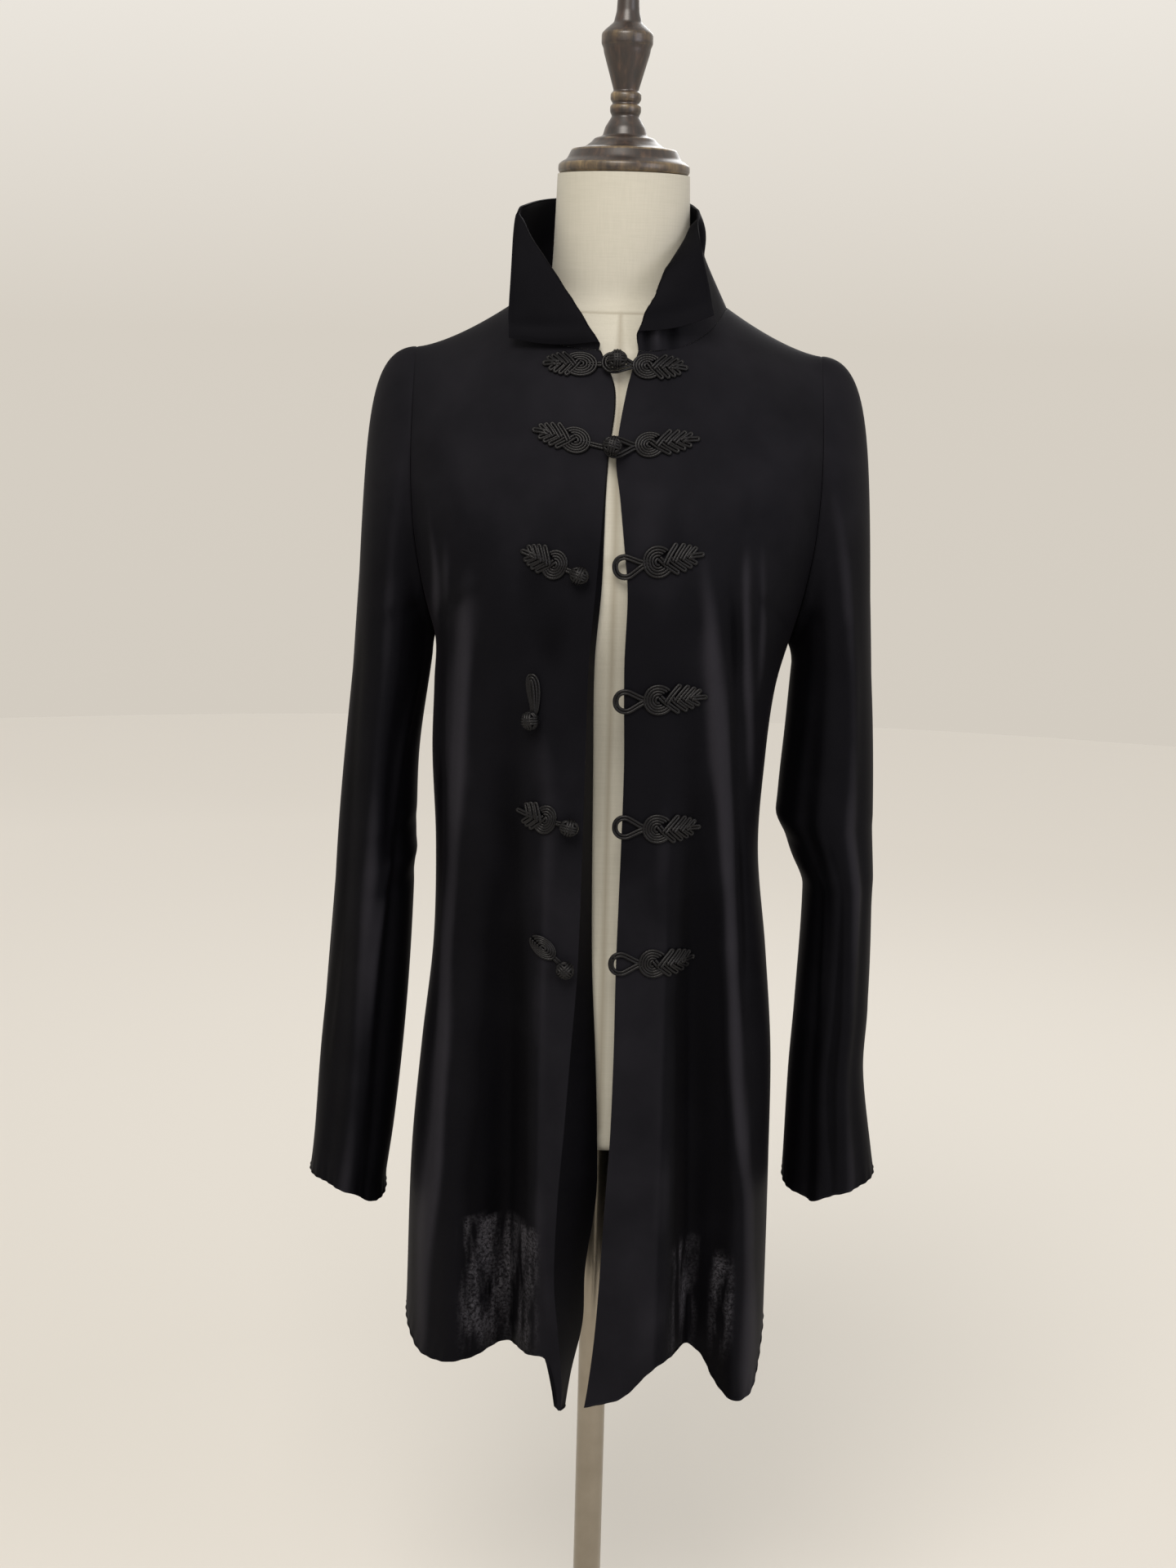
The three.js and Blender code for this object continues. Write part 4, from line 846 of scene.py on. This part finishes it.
collar = dict(
    columns=190, rows=60, wall=1.5, ease=0.12, sag=3.5, edgeBead=0.35, edgeWidth=1.6, edgeSpread=0.7,
    # painted light: the collar's base share of painted light, and how much its raised folds and beads add as
    # painted highlight or its sunk folds take off as painted shade
    painted_light=0.4, foldLightAndShade=0.16,
    right=dict(
        along=[0, 0.25, 0.5, 0.58, 0.65, 0.8, 0.92, 1],
        foldX=[0, 57, 85, 83, 75, 54, 32, 17], foldY=[64, 50, -2, -18, -32, -56, -73, -83],
        foldZ=[1392, 1388, 1388, 1406, 1394, 1366, 1334, 1308],
        edgeX=[0, 58, 83, 87, 89, 90, 91, 90], edgeY=[68, 52, -4, -16, -27, -44, -56, -62],
        edgeZ=[1428, 1426, 1417, 1411, 1393, 1362, 1328, 1309],
        swell=[0, 0, 1, 1, 1.5, 2, 2, 1],
    ),
    left=dict(
        along=[0, 0.25, 0.5, 0.58, 0.65, 0.8, 0.92, 1],
        foldX=[0, 52, 68, 57, 49, 35, 23, 13], foldY=[64, 48, -2, -19, -35, -61, -74, -82],
        foldZ=[1392, 1388, 1380, 1404, 1392, 1370, 1344, 1317],
        edgeX=[0, 49, 62, 62, 62, 65, 71, 75], edgeY=[68, 50, -8, -21, -34, -56, -66, -72],
        edgeZ=[1428, 1426, 1417, 1412, 1400, 1378, 1352, 1331],
        swell=[0, 0, 4, 3, 2, 2, 2, 1],
    ),
    # soft folds of the collar: along it, across it, how far each way, and height
    folds=[(-0.957, 0.5, 0.016, 0.5, 1.3), (-0.985, 0.4, 0.011, 0.5, -1.6), (-0.72, 0.55, 0.05, 0.3, 0.8),
           (0.952, -0.5, 0.014, 0.5, -2.4), (0.9, -0.5, 0.018, 0.5, 2.4), (0.81, -0.5, 0.028, 0.5, -3),
           (0.965, 0.5, 0.015, 0.5, 0.9), (0.55, -0.3, 0.03, 0.5, -2), (0.3, 0.2, 0.06, 0.5, 1)],
)


def neckSeam(side, along):
    # the neck edge: along the back from its middle to the shoulder seam, then down the front to its end
    sign = -1 if side == "right" else 1
    top = np.full_like(along, shirt["rowsBelow"] + shirt["rowsAbove"])
    edgeAtTop = abs(curveAt(frontEdges["z"], frontEdges[side], shirt["neckZ"]))
    behind = backPoints(sign * neckCorner(0) * np.minimum(along * 2, 1), top)
    before = frontPoints(side, neckCorner(edgeAtTop) * np.clip(2 - along * 2, 0, 1), top)
    return np.where((along < 0.5)[..., None], behind, before)


def softShare(part):
    # 0 below 0 and 1 at 1, straight in between, with the corner at 0 rounded by the ease
    ease = collar["ease"]
    value, low, high = ((one + np.sqrt(one * one + ease**2)) / 2 for one in (part, -1.0, 1.0))
    return ((value - low * (1 - part) / 2) / high)[..., None]


def collarPoints(about, across):
    # each section runs from the neck seam up to the fold and on to the free edge, with a softened corner
    points = []
    for side, sign in (("right", -1), ("left", 1)):
        table = collar[side]
        along = np.abs(about)
        at = {key: curveAt(table["along"], table[key], along) for key in table if key != "along"}
        fold = np.stack([sign * at["foldX"], at["foldY"], at["foldZ"]], -1)
        edge = np.stack([sign * at["edgeX"], at["edgeY"], at["edgeZ"]], -1)
        seam = neckSeam(side, along)
        section = fold + (seam - fold) * softShare(-across) + (edge - fold) * softShare(across)
        radial = edge * [1, 1, 0] / np.maximum(np.hypot(edge[..., 0], edge[..., 1]), 1)[..., None]
        turned = np.sin(np.pi * np.maximum(across, 0))
        section += radial * (at["swell"] * turned)[..., None]
        section[..., 2] -= collar["sag"] * turned * smooth(0.9, 1, along)
        points.append(section)
    return np.where((about < 0)[..., None], *points)


def addCollar():
    # the folded sheet, its soft folds as Gaussians both ways, and a bead along its free edges; raised folds
    # and beads carry a painted highlight and sunk folds painted shade
    rows = np.linspace(-1, 1, collar["rows"])
    u, v = np.meshgrid(np.linspace(-1, 1, collar["columns"]), rows)
    points = collarPoints(u, v)
    outward = -gridNormals(points)
    move = sum(high * np.exp(-(((u - along) / wide) ** 2) - ((v - across) / reach) ** 2)
               for along, across, wide, reach, high in collar["folds"])
    for axis, end in ((0, 1), (1, 0), (1, 1)):
        run = edgeDistance(points, axis, end)
        off = (run - collar["edgeWidth"]) / collar["edgeSpread"]
        move = move + collar["edgeBead"] * np.exp(-(off**2))
    # painted light: a painted highlight on raised folds and edge beads, painted shade in sunk folds
    painted_light = np.clip(collar["painted_light"] + collar["foldLightAndShade"] * move, 0, 1)
    points = points + outward * move[..., None]
    return clothPiece("collar_cloth", points, collar["wall"], True, painted_light, sharp=60)


collarPiece = addCollar()
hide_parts("collar")
print("collar made")

# frogs

frogs = dict(
    cord=1.22, clearance=0.2, sides=8, step=1.2, eyeLift=5.0, eyeEnd=0.42, eyeRise=1.4, leaf=33.5,
    low=0.1, twin=1.05, endStations=7, tailMiddle=0.4, tailEnd=5, arcWave=0.3, arcLift=0.8, arcFall=0.15,
    ovalOpening=8, wholeLeaf=0.85, shortBarbs=6,
    # the knot button: its size, its rings and the core inside them, and how far it stands off the cloth
    knob=8.0, knobFlat=0.94, ringPlaces=(-2.1, 0, 2.1), ringWave=0.55, ringStations=44, coreGap=0.7,
    coreRows=12, coreColumns=18, seat=0.7, sink=0.85, standOpen=1.1, standFastened=8.7, footHeight=1.2,
    stemStations=8,
    # a frog that hangs on its edge: half widths of its loops, and the heights of their two sides
    bundle=dict(halves=(6.8, 4.3, 1.7), stations=40, start=5, short=6.5, shorter=2.1, lean=0.05,
                there=2.2, back=1.4, rise=0.9, backShare=0.8, least=0.45, power=0.8),
    rows=[
        # name, end x, end z, tip x, tip z, knot centre by length, width, stretch, fastened, kind
        ("frog_button_1", -2, 1290, -61, 1289, 0.5, 0.78, 1.15, True, "leaf"),
        ("frog_button_2", -4, 1223, -68, 1237, 0.47, 0.85, 1.05, True, "leaf"),
        ("frog_button_3", -28, 1123, -75, 1141, 0.43, 1.0, 0.84, False, "leaf"),
        ("frog_button_4", -62, 1004, -67, 1042, 0.5, 0.62, 1.0, False, "bundle"),
        ("frog_button_5", -32, 917, -74, 927, 0.46, 1.02, 0.74, False, "leaf"),
        ("frog_button_6", -32, 796, -63, 824, 0.6, 0.62, 1.05, False, "oval"),
        ("frog_loop_1", -12, 1290, 54, 1288, 0.52, 0.82, 1.0, True, "leaf"),
        ("frog_loop_2", -14, 1222, 65, 1233, 0.5, 0.82, 1.0, True, "leaf"),
        ("frog_loop_3", 0, 1129, 71, 1142, 0.49, 1.08, 1.04, False, "leaf"),
        ("frog_loop_4", 2, 1021, 78, 1026, 0.48, 1.04, 1.04, False, "leaf"),
        ("frog_loop_5", 4, 917, 76, 915, 0.51, 1.0, 1.0, False, "leaf"),
        ("frog_loop_6", 6, 801, 75, 802, 0.5, 1.0, 1.0, False, "leaf"),
    ],
    # concentric arcs of a knot: radius, and how far each stays open towards the tip
    arcs=[(2.3, 70), (4.6, 56), (6.8, 48), (9.0, 42), (11.2, 38)],
    # barbs from the knot's centre, for a leaf of full length and width: start, end and lift of each
    barbs=[
        (1, 2.6, 12.5, -9.8, 1.5), (4.5, -2.6, 14.5, 10, 2.3),
        (8, 2.2, 18, -8.8, 1.4), (11, -2.0, 20, 8.8, 2.1),
        (13.5, 1.8, 22.6, -7.2, 1.2), (16.5, -1.6, 24.4, 7.0, 1.9),
        (19, 1.4, 26.8, -5.2, 1.0), (21.5, -1.2, 28.4, 5, 1.6),
    ],
    barbBend=0.44, barbMiddle=0.75, barbTip=0.2,
    spine=[(13, 0, 1.6), (7, 0.2, 1.2), (1.1, 0, 0)],  # back from the tip, across, and lift
    # one side of the eye's outer cord, back from the knot's centre, and how far back it reaches
    eyeReach=36,
    eye=[(-7, 2.4), (-12.5, 2.9), (-18.5, 6.0), (-25, 9.1), (-31, 8.4), (-34.8, 4.9)],
)


def throughPoints(rows):
    # a smooth line through the rows of (along, across, height), sampled at even steps
    rows = np.asarray(rows, float)
    place = np.arange(len(rows))
    length = np.linalg.norm(np.diff(rows, axis=0), axis=1).sum()
    return curveAt(place, rows, np.linspace(0, len(rows) - 1, max(int(length / frogs["step"]), 6)))


def beside(line, offset):
    # the same line moved sideways in the plane of the frog
    run = np.gradient(line[:, :2], axis=0)
    run /= np.maximum(np.linalg.norm(run, axis=1, keepdims=True), 1e-9)
    moved = line.copy()
    moved[:, 0] -= run[:, 1] * offset
    moved[:, 1] += run[:, 0] * offset
    return moved


def hairpin(line, width):
    # a cord that goes out along a line, round its end and back on the other side
    out, home = beside(line, width), beside(line, -width)[::-1]
    run = line[-1, :2] - line[-2, :2]
    run = run / np.linalg.norm(run)
    side = np.array([-run[1], run[0]])
    angle = np.linspace(0, np.pi, frogs["endStations"])[1:-1]
    cap = line[-1, :2] + width * (np.cos(angle)[:, None] * side + np.sin(angle)[:, None] * run)
    cap = np.column_stack([cap, np.full(len(cap), line[-1, 2])])
    return np.concatenate([out, cap, home])


def arc(centre, radius, opening, height, stretch=1.0):
    # part of a circle that stays open by so many degrees towards the tip
    angle = np.radians(np.linspace(opening, 360 - opening, max(int(radius * 5 / frogs["step"]), 10)))
    rise = height + frogs["arcWave"] * np.cos(2 * angle)
    return np.stack([centre + radius * stretch * np.cos(angle), radius * np.sin(angle), rise], -1)


def knotLines(centre, width, stretch, closed):
    # cords laid in arcs round the knot's centre, the inner ones a little higher
    lines = []
    for k, (radius, opening) in enumerate(frogs["arcs"]):
        height = frogs["cord"] + frogs["arcLift"] - frogs["arcFall"] * k
        opening = frogs["ovalOpening"] if closed else opening
        lines.append(arc(centre, radius, opening, height, stretch) * [1, width, 1])
    return lines


def leafLines(centre, tip, width):
    # crossed hairpins that open towards the tip, the last ones left out on a short leaf
    scale, cord, bend = (tip - centre) / frogs["leaf"], frogs["cord"], frogs["barbBend"]
    lines = []
    barbs = frogs["barbs"] if scale > frogs["wholeLeaf"] else frogs["barbs"][:frogs["shortBarbs"]]
    for startX, startY, endX, endY, lift in barbs:
        start = [centre + startX * scale, startY * width, cord + lift]
        end = [centre + endX * scale, endY * width, cord + frogs["barbTip"]]
        high = cord + lift * frogs["barbMiddle"]
        middle = [start[0] * (1 - bend) + end[0] * bend, (start[1] + end[1]) / 2, high]
        lines.append(hairpin(throughPoints([start, middle, end]), cord))
    spine = throughPoints([[tip - back, aside, cord + lift] for back, aside, lift in frogs["spine"]])
    return lines + [hairpin(spine, cord)]


def bundleLines(length):
    # a frog that hangs on its edge: its loops side by side, drawn together towards the knob
    loops, lines = frogs["bundle"], []
    share = np.linspace(0, np.pi, loops["stations"])
    out = (1 - np.cos(share)) / 2
    for k, half in enumerate(loops["halves"]):
        along = loops["start"] + (length - loops["short"] - loops["shorter"] * k) * (1 - np.cos(share)) / 2
        across = half * np.sin(share) ** loops["power"] * (loops["least"] + (1 - loops["least"]) * out)
        lift = np.full_like(share, loops["rise"] * k)
        there = np.stack([along, across, loops["there"] + lift], -1)
        back = np.stack([along, -across * loops["backShare"], loops["back"] + lift], -1)[::-1]
        lines.append(np.concatenate([there, back[1:]]) + [0, loops["lean"] * length, 0])
    return lines


def loopLines(centre, width):
    # a double cord round the eye, its two legs drawn together under the knot
    low = frogs["cord"] + frogs["low"]
    half = np.array([[centre + x, y * width, low] for x, y in frogs["eye"]])
    end = [[centre - frogs["eyeReach"], 0, low]]
    line = throughPoints(np.concatenate([half, end, half[::-1] * [1, -1, 1]]))
    return [line, beside(line, frogs["cord"] * 2)]


def knobParts(centre, normal, aside):
    # a knot button: three sets of three rings round three axes, each wavering over and under the others
    axes = [normal, aside, np.cross(normal, aside)]
    radius = frogs["knob"] - frogs["cord"]
    angle = np.linspace(0, 2 * np.pi, frogs["ringStations"], endpoint=False)
    parts = []
    for k in range(3):
        axis, first, second = axes[k], axes[(k + 1) % 3], axes[(k + 2) % 3]
        spoke = np.cos(angle)[:, None] * first + np.sin(angle)[:, None] * second
        wave = frogs["ringWave"] * np.cos(2 * angle + (0 if k % 2 else np.pi))
        for offset in frogs["ringPlaces"]:
            around = np.sqrt(radius**2 - offset**2) + wave
            path = centre + axis * offset + spoke * around[:, None] * frogs["knobFlat"]
            parts.append(tube(path, spoke, frogs["cord"], frogs["sides"], ring=True))
    rows, columns = frogs["coreRows"], frogs["coreColumns"]
    up = np.linspace(-np.pi / 2, np.pi / 2, rows)
    u, v = np.meshgrid(np.linspace(0, 2 * np.pi, columns, endpoint=False), up)
    shares = (np.sin(v), np.cos(v) * np.cos(u), np.cos(v) * np.sin(u))
    axis, first, second = (share[..., None] for share in shares)
    core = first * axes[1] + second * axes[2] + axis * axes[0]
    core = centre + core * (radius - frogs["coreGap"]) * frogs["knobFlat"]
    core = core.reshape(-1, 3)
    parts.append((core, [gridQuads(rows, columns, closed=True)], np.zeros((len(core), 2))))
    return parts


def addFrog(name, endX, endZ, tipX, tipZ, knotAt, width, stretch, fastened, kind):
    # cords laid out flat from the end at the front edge to the tip, then lifted onto the front panel
    length = np.hypot(tipX - endX, tipZ - endZ)
    along = np.array([tipX - endX, tipZ - endZ]) / length
    over = np.array([-along[1], along[0]]) * np.sign(along[0])
    centre = length * knotAt
    isLoop = name.startswith("frog_loop")
    lines = bundleLines(length) if kind == "bundle" else knotLines(centre, width, stretch, kind == "oval")
    if kind == "leaf":
        lines += leafLines(centre, length, width)
    if isLoop:
        lines += loopLines(centre, min(width, 1.0))
    else:
        low = frogs["cord"] + frogs["low"]
        middle, end = centre * frogs["tailMiddle"], centre - frogs["tailEnd"]
        tail = throughPoints([[0, 0, low], [middle, 0, low], [end, 0, low]])
        lines += [beside(tail, frogs["twin"]), beside(tail, -frogs["twin"])]
    parts = []
    for line in lines:
        lift = 0.0
        if isLoop and fastened:
            share = np.clip((1 - line[:, 0] / length / frogs["eyeEnd"]) * frogs["eyeRise"], 0, 1)
            lift = frogs["eyeLift"] * (1 - np.cos(np.pi * share)) / 2
        place = np.array([endX, endZ]) + line[:, :1] * along + line[:, 1:2] * over
        path, normal = aboveFront(place[:, 0], place[:, 1], line[:, 2] + frogs["clearance"] + lift)
        parts.append(tube(path, normal, frogs["cord"], frogs["sides"]))
    if not isLoop:
        standOff = frogs["standFastened" if fastened else "standOpen"]
        place = np.array([[endX], [endZ]], float)
        reach = frogs["seat"] + standOff + frogs["knob"] * frogs["sink"]
        middle, normal = aboveFront(*place, np.array([reach]))
        foot, _ = aboveFront(*place, np.array([frogs["footHeight"]]))
        aside = np.cross(normal[0], [along[0], 0, along[1]])
        aside /= np.linalg.norm(aside)
        for offset in (-frogs["twin"], frogs["twin"]):
            stem = np.linspace(foot[0], middle[0], frogs["stemStations"]) + aside * offset
            parts.append(tube(stem, np.tile(aside, (len(stem), 1)), frogs["cord"], frogs["sides"]))
        parts += knobParts(middle[0], normal[0], aside)
    points, faces, uv = joined(parts)
    piece = makeMesh(name + "_cord", points, faces, satin, uv=uv)
    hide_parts(name)
    return piece


frogPieces = [addFrog(*row) for row in frogs["rows"]]
print("frogs made:", sum(len(piece.data.polygons) for piece in frogPieces), "faces")

# dress form

form = dict(
    columns=180, rows=150, seamRows=17, seamDip=0.5, seamWidth=1.0, seamShade=0.55, girthRadius=80,
    bottom=632, top=1443, neckSeamZ=1331, neckSeamDrop=4, neckRows=(1326, 1336),
    tuckRows=6, tuckDepth=8, tuckShare=0.9, seamFrom=(640, 646), frontSeamTop=(1334, 1331),
    z=[624, 690, 770, 860, 950, 1030, 1110, 1160, 1220, 1300, 1314, 1325],
    width=[130, 137, 134, 118, 110, 122, 140, 168, 182, 184.4, 184.4, 184.4],
    reach=[130, 137, 134, 118, 110, 122, 134, 146, 158, 165, 165, 165],
    front=[86, 90, 90, 82, 78, 92, 110, 108, 98.8, 74, 70, 66],
    back=[82, 87, 83, 74, 70, 80, 92, 98, 97.6, 81.2, 77, 72],
    under=[4, 4, 4, 4, 4, 4, 4, 4, 4, 4.4, 6, 11],
    levels=[624, 634, 690, 770, 860, 950, 1030, 1080, 1120, 1165, 1210, 1250, 1280, 1294, 1304, 1314, 1325],
    # z, half width and half depth
    neck=[(1341, 61, 47.5), (1366, 57.8, 47.5), (1400, 56.2, 50.5), (1443, 54.8, 53)],
)


def formRing(angle, z):
    # the shirt's own rolled section on the form's smaller widths, cut off at its reach and its shoulder
    at = {key: curveAt(form["z"], form[key], z) for key in ("width", "reach", "front", "back", "under")}
    top = z + at["under"]
    slope = shirt["neckZ"] - shirt["pointZ"]
    inward = (np.maximum(top - shirt["pointZ"], 0) / slope) ** (1 / shirt["shoulderPower"])
    reach = np.minimum(at["reach"], shirt["pointX"] - (shirt["pointX"] - shirt["neckX"]) * inward)
    x = reach * np.sin(angle)
    front = rolledDepth(x, top, at["width"], at["front"])
    behind = rolledDepth(x, top, at["width"], at["back"])
    y = np.where(np.abs(np.cos(angle)) < 1e-6, 0, np.where(np.cos(angle) > 0, -front, behind))
    return np.stack(np.broadcast_arrays(x, y, z), -1)


def formSurface(angle, z):
    # rings at fixed levels, ellipses at the neck, and smooth curves up through them
    rings = [formRing(angle, np.full_like(angle, level))[:, :2] for level in form["levels"]]
    for _, halfWidth, halfDepth in form["neck"]:
        rings.append(np.stack([halfWidth * np.sin(angle), -halfDepth * np.cos(angle)], -1))
    flat = curveAt(form["levels"] + [row[0] for row in form["neck"]], rings, z)
    return np.concatenate([flat, np.broadcast_to(z[:, None, None], (*flat.shape[:2], 1))], -1)


def addForm():
    # the surface, its seams sunk in as Gaussian grooves, and a quarter round tucked under its lower edge
    angle = np.linspace(0, 2 * np.pi, form["columns"], endpoint=False)
    closeRows = np.linspace(*form["neckRows"], form["seamRows"])
    z = np.unique(np.concatenate([np.linspace(form["bottom"], form["top"], form["rows"]), closeRows]))
    points = formSurface(angle, z)
    girth = np.minimum(angle, 2 * np.pi - angle)
    neckZ = form["neckSeamZ"] + form["neckSeamDrop"] * (1 - np.cos(angle)) / 2
    above = smooth(*form["seamFrom"], z)[:, None]
    before, behind, neck = (np.exp(-((away / form["seamWidth"]) ** 2)) for away in (
        girth * form["girthRadius"], (np.pi - girth) * form["girthRadius"], z[:, None] - neckZ[None, :],
    ))
    underNeck = smooth(*form["frontSeamTop"], z)[:, None]
    line = np.maximum.reduce([before[None, :] * above * underNeck, behind[None, :] * above, neck])
    outward = -gridNormals(points, closed=True)
    outward = np.where(np.sum(outward * points * [1, 1, 0], -1, keepdims=True) < 0, -outward, outward)
    points = points - outward * (form["seamDip"] * line)[..., None]
    turn = np.linspace(0, np.pi / 2, form["tuckRows"] + 1)[:-1]
    inward = form["tuckShare"] + (1 - form["tuckShare"]) * np.sin(turn)
    tuck = points[0][None] * np.stack([inward] * 2 + [np.ones_like(turn)], -1)[:, None]
    tuck[..., 2] = form["bottom"] - form["tuckDepth"] * np.cos(turn)[:, None]
    points = np.concatenate([tuck, points])
    mark = np.concatenate([np.zeros(tuck.shape[:2]), line]).ravel()
    flat = np.concatenate([points.reshape(-1, 3), [[0, 0, points[0, 0, 2]], [0, 0, form["top"]]]])
    return makeMesh("dress_form_cover", flat, ringFaces(*points.shape[:2]), bleached,
                    values=dict(seam=np.append(mark, [0, 0]) * form["seamShade"]), sharp=55)


formPiece = addForm()
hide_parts("dress_form")
print("dress form made")

# neck cap, pole and foot

stand = dict(
    sides=128, capBottom=1443.3, poleRadius=12.5, poleLow=26.3, poleHigh=623.7,
    capEase=1.6, poleEase=0.8, footEase=2.0, wear=1.1,  # how much each part's corners are rounded, and rubbed
    capUp=[
        0, 0, 2.5, 7.5, 9.5, 12, 17, 20, 22, 26, 29, 31, 38, 47, 50, 55, 57,
        60, 65, 67, 80, 97, 101, 104, 112, 115, 121, 130, 150, 162, 170, 180, 190, 196,
    ],
    capRadius=[
        0, 52.5, 54.5, 54.3, 52, 47.5, 45, 43.5, 33, 27.5, 25, 18.5, 16.5, 11, 12.8, 12.8, 10.6,
        12.8, 12.6, 10.2, 14, 19, 19.6, 21.2, 21.2, 18.6, 11.5, 9.4, 8.4, 10, 14, 15.5, 12, 0,
    ],
    footUp=[0, 0, 2, 10, 12, 20, 26, 30, 52, 52, 26, 26],
    footRadius=[0, 157, 160, 160, 157, 88, 25, 21, 21, 13.7, 13.7, 0],
)


def rounded(radius, up, ease, steps=5):
    # each corner of the profile is cut by a short curve, so that no edge is knife sharp
    profile = np.stack([radius, up], -1).astype(float)
    first, corner, last = profile[:-2], profile[1:-1], profile[2:]
    before, after = first - corner, last - corner
    lengthBefore, lengthAfter = np.linalg.norm(before, axis=1), np.linalg.norm(after, axis=1)
    cut = np.minimum(ease, 0.45 * np.minimum(lengthBefore, lengthAfter))[:, None]
    a = corner + before / lengthBefore[:, None] * cut
    b = corner + after / lengthAfter[:, None] * cut
    t = np.linspace(0, 1, steps)[None, :, None]
    curve = (1 - t) ** 2 * a[:, None] + 2 * (1 - t) * t * corner[:, None] + t**2 * b[:, None]
    turn = np.arccos(np.clip(np.sum(before * after, 1) / lengthBefore / lengthAfter, -1, 1))
    outside = np.cross(-before, after) > 0
    wear = np.repeat(np.where(outside, np.pi - turn, 0), steps)
    return np.concatenate([profile[:1], curve.reshape(-1, 2), profile[-1:]]), np.concatenate([[0], wear, [0]])


def lathe(name, radius, up, ease, material, base=0.0):
    # a rounded profile turned about the upright axis, closed by a point at each end
    profile, wear = rounded(np.array(radius), np.array(up), ease)
    angle = np.linspace(0, 2 * np.pi, stand["sides"], endpoint=False)
    out, height = profile[1:-1, :1], profile[1:-1, 1:] + base
    ring = np.stack(np.broadcast_arrays(out * np.cos(angle), out * np.sin(angle), height), -1)
    ends = [[0, 0, profile[0, 1] + base], [0, 0, profile[-1, 1] + base]]
    points = np.concatenate([ring.reshape(-1, 3), ends])
    mark = np.append(np.repeat(np.clip(wear[1:-1] * stand["wear"], 0, 1), len(angle)), [0, 0])
    faces = ringFaces(*ring.shape[:2])
    return makeMesh(name, points, faces, material, values=dict(wear=mark), sharp=40)


capPiece = lathe("neck_cap_turned", stand["capRadius"], stand["capUp"], stand["capEase"], beech,
                 stand["capBottom"])
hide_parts("neck_cap")
poleOut = [0, stand["poleRadius"], stand["poleRadius"], 0]
poleUp = [stand["poleLow"], stand["poleLow"], stand["poleHigh"], stand["poleHigh"]]
polePiece = lathe("pole_tube", poleOut, poleUp, stand["poleEase"], chromed)
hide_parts("pole")
footPiece = lathe("base_plate", stand["footRadius"], stand["footUp"], stand["footEase"], chromed)
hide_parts("base")
print("stand made")

# cloth pieces with the flat width and length of each cut, in metres, and how each is held

sheets = [
    (fronts["right"], (0.215, 0.95), "draped"),
    (fronts["left"], (0.205, 0.95), "draped"),
    (back, (0.47, 0.93), "draped"),
    (arms["right"], (0.36, 0.76), "hung"),
    (arms["left"], (0.37, 0.75), "hung"),
    (collarPiece, (0.47, 0.11), "folded"),
]


def flatArea(piece):
    # half the area of all its faces, because a wall has two sides
    mesh = piece.data
    area = np.empty(len(mesh.polygons))
    mesh.polygons.foreach_get("area", area)
    return float(area.sum() / 2)


for piece, flat, held in sheets:
    measured, most = flatArea(piece), flat[0] * flat[1]
    print(piece.name, "flat", flat, "measured", round(measured, 4), "of", round(most, 4))

# floor and light

studio = dict(
    wall="#f0ebe3", skirting="#d6cfc4", farFloor="#d3ccc1", floor="#cbc8c2", floorEdge="#e6e3de",
    floorRadius=6.0, dimBehind=0.72, aim=1.0,
    lights=[
        # name, x, y, z, size, watts, colour
        ("window", -0.5, -2.4, 3.2, 1.7, 86, "#fff8f0"),
        ("fill", 2.3, -2.0, 1.8, 1.6, 24, "#f6f4ff"),
        ("rim", 0.6, 2.4, 2.6, 1.6, 24, "#ffffff"),
    ],
)


def addFloor():
    # a disc, painted paler towards its rim to make up for the lamps' light falling off there
    angle = np.linspace(0, 2 * np.pi, 96, endpoint=False)
    ring = np.stack([np.cos(angle), np.sin(angle), angle * 0], -1) * studio["floorRadius"] * 1000
    mesh = bpy.data.meshes.new("floor")
    mesh.from_pydata((ring * 0.001).tolist(), [], [list(range(len(angle)))])
    made, tree, sockets = newMaterial("pale_floor", **{"Roughness": 0.9, "Specular IOR Level": 0.2})
    place = add(tree, "TexCoord", output="Object")
    distance = add(tree, "VectorMath", {0: place}, output="Value", operation="LENGTH")
    far = add(tree, "MapRange", {"Value": distance, "From Min": 1.0, "From Max": 4.2})
    # painted light: paler towards the rim, where less lamp light falls
    add(tree, "ValToRGB", {"Fac": far}, to=sockets["Base Color"], stops=[
        (0.0, studio["floor"]), (1.0, studio["floorEdge"]),
    ])
    mesh.materials.append(made)
    floor = bpy.data.objects.new("floor", mesh)
    scene.collection.objects.link(floor)


def addLights():
    # a studio whose wall, skirting and far floor follow the height looked at, and three soft lamps
    world = bpy.data.worlds.new("studio")
    world.use_nodes = True
    scene.world = world
    tree = world.node_tree
    sky = tree.nodes["Background"].inputs
    direction = add(tree, "TexCoord", output="Generated")
    depth = add(tree, "SeparateXYZ", {0: direction}, output="Y")
    add(tree, "MapRange", {
        "Value": depth, "From Min": -0.95, "From Max": 0.0, "To Min": studio["dimBehind"],
    }, to=sky["Strength"])
    rise = add(tree, "MapRange", {"Value": depth.node.outputs["Z"], "From Min": -0.17, "From Max": 0.16})
    add(tree, "ValToRGB", {"Fac": rise}, to=sky["Color"], stops=[
        (0.0, studio["farFloor"]), (0.5, studio["skirting"]), (1.0, studio["wall"]),
    ])
    for name, x, y, z, size, watts, colour in studio["lights"]:
        data = bpy.data.lights.new(name, "AREA")
        data.shape = "DISK"
        data.size = size
        data.energy = watts
        data.color = srgb(colour)[:3]
        lamp = bpy.data.objects.new(name, data)
        scene.collection.objects.link(lamp)
        aim = Vector((0, 0, studio["aim"])) - Vector((x, y, z))
        lamp.matrix_world = Matrix.Translation((x, y, z)) @ aim.to_track_quat("-Z", "Y").to_matrix().to_4x4()


addFloor()
addLights()
scene.view_settings.view_transform = "Standard"
print("floor and lights made")
